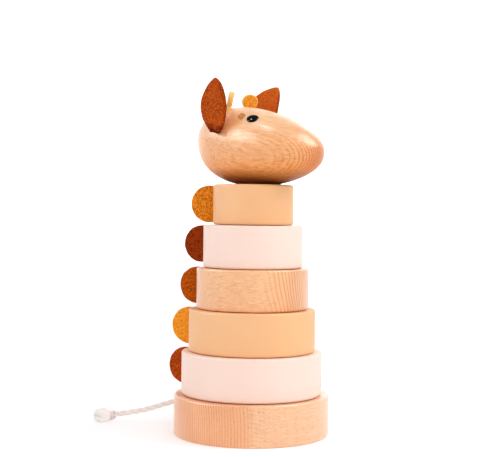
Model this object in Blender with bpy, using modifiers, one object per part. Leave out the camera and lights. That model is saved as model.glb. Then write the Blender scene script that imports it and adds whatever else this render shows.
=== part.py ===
"""Giraffe stacking toy: beech base with a peg, five loose rings, a pebble head and a cord tail.

Units are metres, +Z is up. The origin is the centre of the base's underside, on the peg's axis.
The body faces +X: the mane felts and the tail are on the -X side.
"""
from math import cos, pi, radians, sin, tan

import bmesh
import bpy
import numpy as np
from mathutils import Matrix, Vector
from mathutils.geometry import interpolate_bezier

# Fits between pieces
FIT_GAP = 0.0003
BORE_CLEARANCE = 0.0010
CUT_OVERRUN = 0.0040

# Base and peg
BASE_DIAMETER = 0.0900
BASE_HEIGHT = 0.0233
EDGE_ROUND = 0.0012
BORE_CHAMFER = 0.0006
PEG_DIAMETER = 0.0120
PEG_SEAT_DEPTH = 0.0140
PEG_TIP_ROUND = 0.0030

# Rings, counted from the base upwards, each with its turn about the peg in degrees
RING_1_DIAMETER = 0.0817
RING_1_HEIGHT = 0.0245
RING_1_TURN = -5.0
RING_2_DIAMETER = 0.0737
RING_2_HEIGHT = 0.0243
RING_2_TURN = 0.0
RING_3_DIAMETER = 0.0653
RING_3_HEIGHT = 0.0236
RING_3_TURN = -2.0
RING_4_DIAMETER = 0.0579
RING_4_HEIGHT = 0.0246
RING_4_TURN = 1.0
RING_5_DIAMETER = 0.0469
RING_5_HEIGHT = 0.0232
RING_5_TURN = 8.0

# Mane: a felt disc in a curved slot in the back of each ring
FELT_THICKNESS = 0.0030
FELT_EDGE_ROUND = 0.0004
MANE_MARGIN = 0.0013
MANE_PROUD = 0.0139

# Head: an egg-shaped pebble, planed flat below, that drops over the peg's tip
HEAD_LENGTH = 0.0846
HEAD_WIDTH = 0.0490
HEAD_CROWN = 0.0215
HEAD_JOWL = 0.0235
HEAD_FLAT_CUT = 0.0010
HEAD_FORWARD = 0.0044
HEAD_DROOP = 0.0041
HEAD_HEIGHT_TAPER = 0.205
HEAD_WIDTH_TAPER = 0.03
HEAD_JOWL_FULLNESS = 0.888
HEAD_TURN = -16.0
HEAD_BORE_DEPTH = 0.0200
HEAD_TIP_GAP = 0.0020

# Features on the head: their distance forward of the peg's axis, and their angle up round its section
EYE_FORWARD = 0.0112
EYE_ANGLE = 47.3
EYE_DIAMETER = 0.0070
EYE_DOME = 0.0018
EYE_SHANK_DIAMETER = 0.0030
EYE_SHANK_LENGTH = 0.0006
HORN_FORWARD = -0.0115
HORN_ANGLE = 64.0
HORN_DIAMETER = 0.0093
HORN_HEIGHT = 0.0110
HORN_ROUND_SWEEP = 220.0
HORN_STEM_WIDTH = 0.0046
HORN_STEM_STRAIGHT = 0.0018
HORN_STEM_DEPTH = 0.0009
HORN_FACING = 52.0
HORN_LEAN = 8.0
EAR_FORWARD = -0.0097
EAR_ANGLE = 21.3
EAR_LENGTH = 0.0303
EAR_WIDTH = 0.0185
EAR_TIP_WIDTH = 0.0012
EAR_ROOT_WIDTH = 0.0040
EAR_FULLNESS = 0.74
EAR_LEAN = 9.5
EAR_SPLAY = 9.6
EAR_FACING = 97.0
EAR_TWIST = 17.5
EAR_BOW_BACK = 0.0051
EAR_BOW_IN = 0.0032
EAR_STANDOFF = 0.0015
EAR_STEM_DIAMETER = 0.0040
EAR_STEM_DEPTH = 0.0008
EAR_STEM_AT = 0.08

# Tail: a cotton cord glued into the back of the base, knotted and frayed at its end
TAIL_DIAMETER = 0.0030
TAIL_HEIGHT = 0.0155
TAIL_SEAT_DEPTH = 0.0120
TAIL_ROUTE = (
    (-0.0335, 0.0, 0.0155),
    (-0.0400, 0.0, 0.0155),
    (-0.0455, 0.0, 0.0154),
    (-0.0510, 0.0, 0.0145),
    (-0.0570, 0.0, 0.0125),
    (-0.0640, 0.0, 0.0101),
    (-0.0710, 0.0, 0.0080),
    (-0.0780, 0.0, 0.0064),
    (-0.0840, 0.0, 0.0052),
    (-0.0888, 0.0, 0.0043),
)
TAIL_POINTS_PER_STRETCH = 2
KNOT_LENGTH = 0.0062
KNOT_WIDTH = 0.0072
KNOT_HEIGHT = 0.0070
TASSEL_LENGTH = 0.0085
TASSEL_ROOT_WIDTH = 0.0040
TASSEL_WIDTH = 0.0125
TASSEL_HEIGHT = 0.0058
TASSEL_TURN = 12.0

# Segments of the round shapes, the angle of a sharp edge, and the steps for welds and slopes
TURN_STEPS = 48
PEG_STEPS = 32
EYE_STEPS = 20
EYE_DOME_STEPS = 5
FELT_SEGMENTS = 32
HEAD_RINGS = 26
HEAD_SEGMENTS = 40
EDGE_STEPS = 2
EAR_COLUMNS = 6
EAR_ROWS = 14
CORD_STEPS = 2
KNOT_SEGMENTS = 20
KNOT_RINGS = 12
SHARP_EDGE = 40.0
WELD_DISTANCE = 0.00001
SLOPE_STEP = 0.001

# Colours as display values from 0 to 1, and how dull each finish is
BEECH = ((0.93, 0.74, 0.56), 0.45)
BLUSH_PAINT = ((0.96, 0.87, 0.81), 0.55)
APRICOT_PAINT = ((0.94, 0.75, 0.55), 0.55)
RUST_FELT = ((0.66, 0.28, 0.08), 0.95)
DEEP_RUST_FELT = ((0.52, 0.20, 0.05), 0.95)
CINNAMON_FELT = ((0.68, 0.33, 0.06), 0.95)
MUSTARD_FELT = ((0.87, 0.58, 0.18), 0.95)
OCHRE_FELT = ((0.80, 0.50, 0.12), 0.95)
BLACK_GLOSS = ((0.02, 0.02, 0.02), 0.12)
COTTON = ((0.94, 0.91, 0.86), 0.9)

RINGS = (
    ("ring_1_blush", RING_1_DIAMETER, RING_1_HEIGHT, RING_1_TURN, BLUSH_PAINT, RUST_FELT),
    ("ring_2_apricot", RING_2_DIAMETER, RING_2_HEIGHT, RING_2_TURN, APRICOT_PAINT, MUSTARD_FELT),
    ("ring_3_beech", RING_3_DIAMETER, RING_3_HEIGHT, RING_3_TURN, BEECH, CINNAMON_FELT),
    ("ring_4_blush", RING_4_DIAMETER, RING_4_HEIGHT, RING_4_TURN, BLUSH_PAINT, DEEP_RUST_FELT),
    ("ring_5_apricot", RING_5_DIAMETER, RING_5_HEIGHT, RING_5_TURN, APRICOT_PAINT, OCHRE_FELT),
)

# Sizes that follow from the ones above
BORE_RADIUS = PEG_DIAMETER / 2 + BORE_CLEARANCE
STACK_TOP = BASE_HEIGHT + sum(height + FIT_GAP for _, _, height, _, _, _ in RINGS)
HEAD_FLOOR = STACK_TOP + FIT_GAP
PEG_BOTTOM = BASE_HEIGHT - PEG_SEAT_DEPTH + FIT_GAP
PEG_TOP = HEAD_FLOOR + HEAD_BORE_DEPTH - HEAD_TIP_GAP
HEAD_CENTRE = HEAD_JOWL - HEAD_FLAT_CUT

for old_object in list(bpy.data.objects):
    bpy.data.objects.remove(old_object, do_unlink=True)

toy = bpy.data.collections.new("giraffe_stacking_toy")
cutters = bpy.data.collections.new("cutters")
bpy.context.scene.collection.children.link(toy)
bpy.context.scene.collection.children.link(cutters)


def linear(display_value):
    """Turn one display colour value into the linear value that a shader takes."""
    if display_value <= 0.04045:
        return display_value / 12.92
    return ((display_value + 0.055) / 1.055) ** 2.4


def finish(obj, look):
    """Give an object its own plain material."""
    colour, roughness = look
    material = bpy.data.materials.new(obj.name)
    material.use_nodes = True
    shader = material.node_tree.nodes["Principled BSDF"]
    shader.inputs["Base Color"].default_value = (*[linear(value) for value in colour], 1.0)
    shader.inputs["Roughness"].default_value = roughness
    shader.inputs["Metallic"].default_value = 0.0
    obj.data.materials.append(material)


def place(obj, parent, matrix):
    """Put an object under its parent, at a place given in the parent's own frame."""
    obj.parent = parent
    obj.matrix_local = matrix
    bpy.context.view_layer.update()
    return obj


def add_part(name, mesh, look, parent=None, matrix=Matrix()):
    """Make one named piece of the toy."""
    mesh.name = name
    obj = bpy.data.objects.new(name, mesh)
    toy.objects.link(obj)
    finish(obj, look)
    return place(obj, parent, matrix)


def add_cutter(name, mesh, parent, matrix):
    """Make a hidden shape that cuts, or is joined to, a piece."""
    obj = bpy.data.objects.new(name, mesh)
    cutters.objects.link(obj)
    obj.hide_render = True
    obj.display_type = "WIRE"
    return place(obj, parent, matrix)


def combine(obj, other, operation="DIFFERENCE"):
    """Cut the other shape out of a piece, or join it on."""
    boolean = obj.modifiers.new(other.name, "BOOLEAN")
    boolean.operation = operation
    boolean.object = other
    boolean.solver = "EXACT"


def mesh_from(bm, name, smooth=True):
    """Write a bmesh to a new mesh, shaded smooth apart from its sharp edges."""
    mesh = bpy.data.meshes.new(name)
    bm.to_mesh(mesh)
    bm.free()
    if smooth:
        mesh.shade_smooth()
        mesh.set_sharp_from_angle(angle=radians(SHARP_EDGE))
    return mesh


def cylinder(name, radius, depth, segments):
    """A closed cylinder along Z, centred on the origin."""
    bm = bmesh.new()
    bmesh.ops.create_cone(bm, cap_ends=True, segments=segments, radius1=radius, radius2=radius, depth=depth)
    return mesh_from(bm, name)


def box(name, width, depth, height):
    """A box centred on the origin."""
    bm = bmesh.new()
    bmesh.ops.create_cube(bm, size=1.0, matrix=Matrix.Diagonal((width, depth, height, 1.0)))
    return mesh_from(bm, name, smooth=False)


def corner(radius_at, height_at, inward, down, size):
    """Points of a quarter-round corner, from its start on the flat to its end on the wall.

    inward and down are +1 or -1: they say which way the corner's centre lies from the sharp corner.
    """
    centre = (radius_at + inward * size, height_at + down * size)
    angles = [pi / 2 * step / EDGE_STEPS for step in range(EDGE_STEPS + 1)]
    return [(centre[0] - inward * size * sin(a), centre[1] - down * size * cos(a)) for a in angles]


def profile_mesh(name, points, closed):
    """A line of (radius, height) points in the XZ plane, ready for a Screw modifier."""
    bm = bmesh.new()
    corners = [bm.verts.new((radius, 0.0, height)) for radius, height in points]
    for start, end in zip(corners, corners[1:]):
        bm.edges.new((start, end))
    if closed:
        bm.edges.new((corners[-1], corners[0]))
    mesh = bpy.data.meshes.new(name)
    bm.to_mesh(mesh)
    bm.free()
    return mesh


def turn(obj, steps):
    """Turn a profile once round Z."""
    screw = obj.modifiers.new("turned", "SCREW")
    screw.angle = 2 * pi
    screw.steps = steps
    screw.render_steps = steps
    screw.use_merge_vertices = True
    screw.merge_threshold = WELD_DISTANCE
    screw.use_smooth_shade = True


def base_profile():
    """From the bottom of the peg's hole, up and over the top edge, and down to the underside."""
    hole_radius = PEG_DIAMETER / 2 + FIT_GAP
    hole_floor = BASE_HEIGHT - PEG_SEAT_DEPTH
    radius = BASE_DIAMETER / 2
    points = [(0.0, hole_floor), (hole_radius, hole_floor), (hole_radius, BASE_HEIGHT)]
    points += corner(radius, BASE_HEIGHT, -1, -1, EDGE_ROUND)
    points += reversed(corner(radius, 0.0, -1, 1, EDGE_ROUND))
    return points + [(0.0, 0.0)]


def ring_profile(diameter, height):
    """A closed outline: outer wall with rounded edges, and the bore with small chamfers."""
    radius = diameter / 2
    points = corner(radius, height, -1, -1, EDGE_ROUND)
    points += reversed(corner(radius, 0.0, -1, 1, EDGE_ROUND))
    points += [(BORE_RADIUS + BORE_CHAMFER, 0.0), (BORE_RADIUS, BORE_CHAMFER)]
    points += [(BORE_RADIUS, height - BORE_CHAMFER), (BORE_RADIUS + BORE_CHAMFER, height)]
    return points


def peg_profile():
    """From the rounded tip down to the flat foot."""
    radius = PEG_DIAMETER / 2
    points = [(0.0, PEG_TOP)]
    points += corner(radius, PEG_TOP, -1, -1, PEG_TIP_ROUND)
    return points + [(radius, PEG_BOTTOM), (0.0, PEG_BOTTOM)]


def eye_profile():
    """A low dome over a flat back, with a shank below it."""
    radius = EYE_DIAMETER / 2
    angles = [pi / 2 * step / EYE_DOME_STEPS for step in range(EYE_DOME_STEPS + 1)]
    points = [(radius * sin(a), FIT_GAP + EYE_DOME * cos(a)) for a in angles]
    shank = EYE_SHANK_DIAMETER / 2
    return points + [(shank, FIT_GAP), (shank, -EYE_SHANK_LENGTH), (0.0, -EYE_SHANK_LENGTH)]


def make_base(parent):
    """The bottom disc, with the peg's blind hole on top and the tail's hole in its back."""
    base = add_part("base_disc", profile_mesh("base_disc", base_profile(), False), BEECH, parent)
    turn(base, TURN_STEPS)
    hole_length = TAIL_SEAT_DEPTH + CUT_OVERRUN
    hole_centre = -BASE_DIAMETER / 2 + TAIL_SEAT_DEPTH - hole_length / 2
    along_x = Matrix.Translation((hole_centre, 0.0, TAIL_HEIGHT)) @ Matrix.Rotation(pi / 2, 4, "Y")
    hole = cylinder("tail_hole", TAIL_DIAMETER / 2 + FIT_GAP, hole_length, FELT_SEGMENTS // 2)
    combine(base, add_cutter("tail_hole", hole, base, along_x))
    peg = add_part("centre_peg", profile_mesh("centre_peg", peg_profile(), False), BEECH, parent)
    turn(peg, PEG_STEPS)


def make_ring(number, ring_values, floor, parent):
    """One loose ring with its bore, a slot in its back and the felt disc in it. Returns its height."""
    name, diameter, height, turn_degrees, look, felt_look = ring_values
    matrix = Matrix.Translation((0.0, 0.0, floor)) @ Matrix.Rotation(radians(turn_degrees), 4, "Z")
    ring = add_part(name, profile_mesh(name, ring_profile(diameter, height), True), look, parent, matrix)
    turn(ring, TURN_STEPS)
    felt_radius = height / 2 - MANE_MARGIN
    felt_centre = (-(diameter / 2 + MANE_PROUD - felt_radius), 0.0, height / 2)
    on_edge = Matrix.Translation(felt_centre) @ Matrix.Rotation(pi / 2, 4, "X")
    slot_width = FELT_THICKNESS + 2 * FIT_GAP
    slot = cylinder(f"mane_slot_{number}", felt_radius + FIT_GAP, slot_width, FELT_SEGMENTS)
    combine(ring, add_cutter(f"mane_slot_{number}", slot, ring, on_edge))
    disc = cylinder(f"mane_felt_{number}", felt_radius, FELT_THICKNESS, FELT_SEGMENTS)
    felt = add_part(f"mane_felt_{number}", disc, felt_look, ring, on_edge)
    soften = felt.modifiers.new("soft_edge", "BEVEL")
    soften.width = FELT_EDGE_ROUND
    soften.segments = 1
    soften.limit_method = "ANGLE"
    return height


def head_surface(along, across, up):
    """Carry points of the unit sphere to the head's egg shape, in the head's own frame.

    The height and the width shrink towards the nose, the middle line droops towards it, and the
    lower half is fuller than an ellipsoid. The frame's floor is the planed flat.
    """
    lower = -HEAD_JOWL * np.abs(up) ** HEAD_JOWL_FULLNESS
    lift = np.where(up > 0, HEAD_CROWN * up, lower)
    x = HEAD_FORWARD + HEAD_LENGTH / 2 * along
    y = HEAD_WIDTH / 2 * across * (1 - HEAD_WIDTH_TAPER * along)
    z = HEAD_CENTRE + lift * (1 - HEAD_HEIGHT_TAPER * along) - HEAD_DROOP * along
    return np.stack([x, y, z], axis=-1)


def head_seat(forward, angle_degrees, side):
    """The point of the head's surface at a distance along it and an angle up its side, and its normal."""
    along = (forward - HEAD_FORWARD) / (HEAD_LENGTH / 2)

    def surface_at(station, angle):
        reach = np.sqrt(1 - station ** 2)
        return head_surface(station, side * reach * np.cos(angle), reach * np.sin(angle))

    angle = radians(angle_degrees)
    down_length = Vector(surface_at(along + SLOPE_STEP, angle) - surface_at(along - SLOPE_STEP, angle))
    round_section = Vector(surface_at(along, angle + SLOPE_STEP) - surface_at(along, angle - SLOPE_STEP))
    normal = side * round_section.cross(down_length)
    return Vector(surface_at(along, angle)), normal.normalized()


def axes_at(origin, x_axis, z_axis):
    """A placement with the given origin, its Z along z_axis and its X as near x_axis as that allows."""
    z = z_axis.normalized()
    y = z.cross(x_axis).normalized()
    x = y.cross(z)
    return Matrix.Translation(origin) @ Matrix((x, y, z)).transposed().to_4x4()


def make_head(parent):
    """The pebble with its planed flat and the blind bore that drops over the peg's tip."""
    bm = bmesh.new()
    poles_along_x = Matrix.Rotation(pi / 2, 4, "Y")
    bmesh.ops.create_uvsphere(
        bm, u_segments=HEAD_SEGMENTS, v_segments=HEAD_RINGS, radius=1.0, matrix=poles_along_x
    )
    sphere = np.array([vert.co for vert in bm.verts])
    for vert, point in zip(bm.verts, head_surface(*sphere.T)):
        vert.co = point
    matrix = Matrix.Translation((0.0, 0.0, HEAD_FLOOR)) @ Matrix.Rotation(radians(HEAD_TURN), 4, "Z")
    head = add_part("head_block", mesh_from(bm, "head_block"), BEECH, parent, matrix)
    below = box("head_flat", 2 * HEAD_LENGTH, 2 * HEAD_WIDTH, HEAD_JOWL)
    combine(head, add_cutter("head_flat", below, head, Matrix.Translation((0.0, 0.0, -HEAD_JOWL / 2))))
    bore_length = HEAD_BORE_DEPTH + CUT_OVERRUN
    bore = cylinder("head_bore", BORE_RADIUS, bore_length, PEG_STEPS)
    bore_place = Matrix.Translation((0.0, 0.0, HEAD_BORE_DEPTH - bore_length / 2))
    combine(head, add_cutter("head_bore", bore, head, bore_place))
    return head


def make_eye(name, side, head):
    """A glossy domed eye whose shank sits in a drilled hole."""
    point, normal = head_seat(EYE_FORWARD, EYE_ANGLE, side)
    matrix = axes_at(point, Vector((1.0, 0.0, 0.0)), normal)
    eye = add_part(name, profile_mesh(name, eye_profile(), False), BLACK_GLOSS, head, matrix)
    turn(eye, EYE_STEPS)
    hole_length = EYE_SHANK_LENGTH + FIT_GAP + CUT_OVERRUN
    hole = cylinder(f"{name}_hole", EYE_SHANK_DIAMETER / 2 + FIT_GAP, hole_length, EYE_STEPS)
    sink = Matrix.Translation((0.0, 0.0, CUT_OVERRUN - hole_length / 2))
    combine(head, add_cutter(f"{name}_hole", hole, head, matrix @ sink))


def horn_outline(slope):
    """Round top and tapered neck of a horn, in its own plane, with the head's surface at height 0.

    The neck's foot is cut to the slope of the crown below it.
    """
    radius = HORN_DIAMETER / 2
    centre = HORN_HEIGHT - radius
    half_stem = HORN_STEM_WIDTH / 2
    sweep = radians(HORN_ROUND_SWEEP)
    start = pi / 2 - sweep / 2
    turns = [start + sweep * step / (FELT_SEGMENTS // 2) for step in range(FELT_SEGMENTS // 2 + 1)]
    points = [(half_stem, half_stem * slope - HORN_STEM_DEPTH), (half_stem, HORN_STEM_STRAIGHT)]
    points += [(radius * cos(a), centre + radius * sin(a)) for a in turns]
    return points + [(-half_stem, HORN_STEM_STRAIGHT), (-half_stem, -half_stem * slope - HORN_STEM_DEPTH)]


def outline_mesh(name, points, thickness):
    """A flat plate cut to a closed outline, with its caps welded on."""
    curve = bpy.data.curves.new(name, "CURVE")
    curve.dimensions = "2D"
    curve.fill_mode = "BOTH"
    curve.extrude = thickness / 2
    spline = curve.splines.new("POLY")
    spline.points.add(len(points) - 1)
    for spot, (x, y) in zip(spline.points, points):
        spot.co = (x, y, 0.0, 1.0)
    spline.use_cyclic_u = True
    return welded_mesh(name, curve)


def welded_mesh(name, curve):
    """Make a curve a closed mesh, and remove the curve."""
    guide = bpy.data.objects.new(name, curve)
    cutters.objects.link(guide)
    bpy.context.view_layer.update()
    mesh = bpy.data.meshes.new_from_object(guide.evaluated_get(bpy.context.evaluated_depsgraph_get()))
    bpy.data.objects.remove(guide)
    bm = bmesh.new()
    bm.from_mesh(mesh)
    bmesh.ops.remove_doubles(bm, verts=bm.verts, dist=WELD_DISTANCE)
    bm.to_mesh(mesh)
    bm.free()
    return mesh


def make_horn(name, side, head):
    """A felt tab standing in a shallow slot, its plane turned between forwards and sideways."""
    point, normal = head_seat(HORN_FORWARD, HORN_ANGLE, side)
    facing = radians(HORN_FACING)
    width_axis = Vector((cos(facing), side * sin(facing), 0.0))
    up_axis = Vector((tan(radians(HORN_LEAN)), 0.0, 1.0)).normalized()
    matrix = axes_at(point, width_axis, width_axis.cross(up_axis))
    slope = -normal.dot(width_axis) / normal.dot(up_axis)
    plate = outline_mesh(name, horn_outline(slope), FELT_THICKNESS)
    add_part(name, plate, MUSTARD_FELT, head, matrix)
    half_slot = HORN_STEM_WIDTH / 2 + FIT_GAP
    slot_floor = -HORN_STEM_DEPTH - FIT_GAP
    slot_outline = [
        (half_slot, half_slot * slope + slot_floor),
        (half_slot, HORN_STEM_STRAIGHT),
        (-half_slot, HORN_STEM_STRAIGHT),
        (-half_slot, -half_slot * slope + slot_floor),
    ]
    slot = outline_mesh(f"{name}_slot", slot_outline, FELT_THICKNESS + 2 * FIT_GAP)
    combine(head, add_cutter(f"{name}_slot", slot, head, matrix))


def ear_leaf(across, height, side):
    """Middle surface of a felt ear, as offsets from its root in the head's frame.

    A leaf-shaped outline is carried up a line that leans forwards and splays outwards. The leaf's
    middle bows backwards and inwards, and the leaf twists as it rises.
    """
    rise = np.array([tan(radians(EAR_LEAN)), side * tan(radians(EAR_SPLAY)), 1.0])
    rise = rise / np.linalg.norm(rise)
    facing = np.radians(EAR_FACING + EAR_TWIST * (height - 0.5))
    normal = np.stack([np.cos(facing), side * np.sin(facing), np.zeros_like(facing)], axis=-1)
    normal = normal - (normal @ rise)[..., None] * rise
    normal = normal / np.linalg.norm(normal, axis=-1, keepdims=True)
    forward = side * np.cross(normal, rise)
    swell = np.sin(pi * np.clip(height, 0.0, 1.0)) ** EAR_FULLNESS
    half_width = EAR_WIDTH / 2 * swell + EAR_ROOT_WIDTH / 2 * (1 - height) ** 3 + EAR_TIP_WIDTH / 2
    arch = 4 * height * (1 - height)
    sideways = half_width * across - EAR_BOW_BACK * arch
    return (
        (EAR_LENGTH * height)[..., None] * rise
        + sideways[..., None] * forward
        - (EAR_BOW_IN * arch)[..., None] * normal
    )


def make_ear(name, side, head):
    """A leaf of felt with a rolled stem that sits in a hole in the head's side."""
    point, normal = head_seat(EAR_FORWARD, EAR_ANGLE, side)
    stem_root = ear_leaf(np.zeros(1), np.full(1, EAR_STEM_AT), side)[0]
    leaf_root = point + normal * (EAR_STANDOFF + FELT_THICKNESS / 2)
    bm = bmesh.new()
    bmesh.ops.create_grid(bm, x_segments=EAR_COLUMNS, y_segments=EAR_ROWS, size=1.0)
    grid = np.array([vert.co for vert in bm.verts])
    leaf = ear_leaf(grid[:, 0], (grid[:, 1] + 1) / 2, side) - stem_root
    for vert, spot in zip(bm.verts, leaf):
        vert.co = spot
    ear = add_part(name, mesh_from(bm, name), RUST_FELT, head, Matrix.Translation(leaf_root))
    thicken = ear.modifiers.new("felt", "SOLIDIFY")
    thicken.thickness = FELT_THICKNESS
    thicken.offset = 0.0
    stem_reach = EAR_STANDOFF + FELT_THICKNESS / 2
    stem_length = EAR_STEM_DEPTH + stem_reach
    along_normal = axes_at(point, Vector((1.0, 0.0, 0.0)), normal)
    middle = Matrix.Translation((0.0, 0.0, stem_reach - stem_length / 2))
    stem = cylinder(f"{name}_stem", EAR_STEM_DIAMETER / 2, stem_length, EYE_STEPS)
    combine(ear, add_cutter(f"{name}_stem", stem, head, along_normal @ middle), "UNION")
    hole_length = EAR_STEM_DEPTH + FIT_GAP + CUT_OVERRUN
    sink = Matrix.Translation((0.0, 0.0, CUT_OVERRUN - hole_length / 2))
    hole = cylinder(f"{name}_hole", EAR_STEM_DIAMETER / 2 + FIT_GAP, hole_length, EYE_STEPS)
    combine(head, add_cutter(f"{name}_hole", hole, head, along_normal @ sink))


def smooth_route(points, per_stretch):
    """Points of one smooth curve through a route's own points."""
    spots = [Vector(point) for point in points]
    before = [spots[0]] + spots[:-1]
    after = spots[1:] + [spots[-1]]
    slopes = [(late - early) / 6 for early, late in zip(before, after)]
    route = [spots[0]]
    for start, end, out_slope, in_slope in zip(spots, spots[1:], slopes, slopes[1:]):
        stretch = interpolate_bezier(start, start + out_slope, end - in_slope, end, per_stretch + 1)
        route += stretch[1:]
    return route


def make_tail(parent):
    """The cord, the knot that it ends in and the frayed tassel beyond the knot."""
    curve = bpy.data.curves.new("tail_cord", "CURVE")
    curve.dimensions = "3D"
    curve.bevel_depth = TAIL_DIAMETER / 2
    curve.bevel_resolution = CORD_STEPS
    curve.use_fill_caps = True
    route = smooth_route(TAIL_ROUTE, TAIL_POINTS_PER_STRETCH)
    spline = curve.splines.new("POLY")
    spline.points.add(len(route) - 1)
    for spot, point in zip(spline.points, route):
        spot.co = (*point, 1.0)
    add_part("tail_cord", welded_mesh("tail_cord", curve), COTTON, parent)
    knot_centre = Vector((route[-1].x - FIT_GAP - KNOT_LENGTH / 2, route[-1].y, FIT_GAP + KNOT_HEIGHT / 2))
    bm = bmesh.new()
    stretch = Matrix.Diagonal((KNOT_LENGTH / 2, KNOT_WIDTH / 2, KNOT_HEIGHT / 2, 1.0))
    bmesh.ops.create_uvsphere(
        bm, u_segments=KNOT_SEGMENTS, v_segments=KNOT_RINGS, radius=1.0, matrix=stretch
    )
    add_part("tail_knot", mesh_from(bm, "tail_knot"), COTTON, parent, Matrix.Translation(knot_centre))
    bm = bmesh.new()
    fan = Matrix.Diagonal((TASSEL_HEIGHT / TASSEL_WIDTH, 1.0, 1.0, 1.0))
    bmesh.ops.create_cone(
        bm, cap_ends=True, segments=KNOT_SEGMENTS, radius1=TASSEL_ROOT_WIDTH / 2, radius2=TASSEL_WIDTH / 2,
        depth=TASSEL_LENGTH, matrix=fan
    )
    outwards = Matrix.Rotation(pi + radians(TASSEL_TURN), 4, "Z") @ Matrix.Rotation(pi / 2, 4, "Y")
    root = knot_centre.x - KNOT_LENGTH / 2 - FIT_GAP
    start = Vector((root, knot_centre.y, FIT_GAP + TASSEL_HEIGHT / 2))
    middle = Matrix.Translation((0.0, 0.0, TASSEL_LENGTH / 2))
    tassel_place = Matrix.Translation(start) @ outwards @ middle
    add_part("tail_tassel", mesh_from(bm, "tail_tassel"), COTTON, parent, tassel_place)


stand = bpy.data.objects.new("giraffe_stand", None)
toy.objects.link(stand)
make_base(stand)
ring_floor = BASE_HEIGHT + FIT_GAP
for ring_number, ring_values in enumerate(RINGS, 1):
    ring_floor += make_ring(ring_number, ring_values, ring_floor, stand) + FIT_GAP
head_piece = make_head(stand)
for side_name, side_sign in (("right", -1), ("left", 1)):
    make_ear(f"ear_{side_name}", side_sign, head_piece)
    make_horn(f"horn_{side_name}", side_sign, head_piece)
    make_eye(f"eye_{side_name}", side_sign, head_piece)
make_tail(stand)
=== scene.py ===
"""Giraffe stacking toy: turned beech, painted rings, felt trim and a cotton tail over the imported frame.

Metres, +Z up, the origin under the middle of the base. The body faces +X, and -Y is its right side.
"""
from math import cos, pi, radians, sin, tan

import bmesh
import bpy
import numpy as np
from mathutils import Matrix, Vector


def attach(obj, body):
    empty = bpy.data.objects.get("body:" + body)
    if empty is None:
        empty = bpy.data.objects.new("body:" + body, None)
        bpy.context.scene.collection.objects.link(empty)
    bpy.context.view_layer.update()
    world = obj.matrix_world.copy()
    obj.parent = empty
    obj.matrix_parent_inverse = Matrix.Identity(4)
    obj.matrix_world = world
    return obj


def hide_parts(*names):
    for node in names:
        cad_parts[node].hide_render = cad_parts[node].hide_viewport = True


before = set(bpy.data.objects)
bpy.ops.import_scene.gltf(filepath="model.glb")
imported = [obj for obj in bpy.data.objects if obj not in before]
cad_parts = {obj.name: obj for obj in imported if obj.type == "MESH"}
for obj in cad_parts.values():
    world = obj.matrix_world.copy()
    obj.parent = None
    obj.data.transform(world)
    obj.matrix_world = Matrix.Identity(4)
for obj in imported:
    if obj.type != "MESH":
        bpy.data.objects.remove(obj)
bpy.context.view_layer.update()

# Camera, fitted to the rims of the base and the rings
CAMERA_AZIMUTH = 21.0
CAMERA_DISTANCE = 0.6565
CAMERA_HEIGHT = 0.1291
CAMERA_ROLL = -0.0116
LENS = 80.80
SENSOR = 36.0
SHIFT = (-0.00650, -0.03266)
CLIP = (0.01, 50.0)

# Studio: how many times its written distance a light stands off, and half the paper's depth and width,
# which keep the camera on the paper when every piece is lifted off the peg
LIGHT_STANDOFF = 2.0
PAPER_DEPTH = 2.3
PAPER_WIDTH = 3.6

# Lights: name, place, the point it faces, size, power, colour and where it is seen
BODY = (0.0, 0.0, 0.10)
FACE = (0.0, 0.0, 0.165)
NEAR_EYE = (0.006, -0.019, 0.182)
WHITE = (1.0, 1.0, 1.0)
LIGHTS = (
    ("top_panel", (0.0, 0.0, 1.4), BODY, (1.2, 1.2), 3.8, WHITE, "on surfaces"),
    ("right_panel", (0.71, 0.19, 0.92), BODY, (0.5, 0.5), 3.05, (1.0, 0.99, 0.98), "on surfaces"),
    ("right_card", (0.68, 0.12, 0.98), FACE, (0.8, 0.7), 13.0, WHITE, "in gloss"),
    ("left_panel", (-0.95, -0.38, 0.60), BODY, (0.42, 0.42), 1.45, (0.99, 0.99, 1.0), "on surfaces"),
    ("left_card", (-0.84, -0.45, 0.71), FACE, (1.1, 0.60), 13.5, WHITE, "in gloss"),
    ("rim_card", (-0.36, 0.93, 0.72), FACE, (0.9, 0.35), 1.0, WHITE, "in gloss"),
    ("front_panel", (0.64, -0.64, 1.0), BODY, (0.8, 0.8), 4.55, (1.0, 1.0, 0.99), "on surfaces"),
    ("catch_card", (-0.20, -0.15, 1.14), NEAR_EYE, (0.09, 0.09), 1.6, WHITE, "in gloss"),
)

# Meshes
SHARP_ANGLE = 35.0
EAR_SHARP_ANGLE = 50.0
ROPE_SHARP_ANGLE = 60.0
TUFT_SHARP_ANGLE = 80.0
WELD_DISTANCE = 0.000002
MILLIMETRE = 0.001

# Base and peg
FIT_GAP = 0.0003
BASE_RADIUS = 0.0450
BASE_HEIGHT = 0.0233
EDGE_ROUND = 0.0012
EDGE_SUPPORT = 0.0004
PEG_RADIUS = 0.0060
PEG_SEAT_DEPTH = 0.0140
PEG_TIP_ROUND = 0.0030
PEG_TIP_CLEARANCE = 0.0020
BORE_RADIUS = 0.0070
BORE_CHAMFER = 0.0006

# Rings: name, diameter, height, turn in degrees, and how far the photograph shows the felt above its middle
RINGS = (
    ("ring_1_blush", 0.0817, 0.0245, -5.0, 0.0009),
    ("ring_2_apricot", 0.0737, 0.0243, 0.0, 0.0008),
    ("ring_3_beech", 0.0653, 0.0236, -2.0, 0.0006),
    ("ring_4_blush", 0.0579, 0.0246, 1.0, 0.0009),
    ("ring_5_apricot", 0.0469, 0.0232, 8.0, 0.0003),
)

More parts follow.
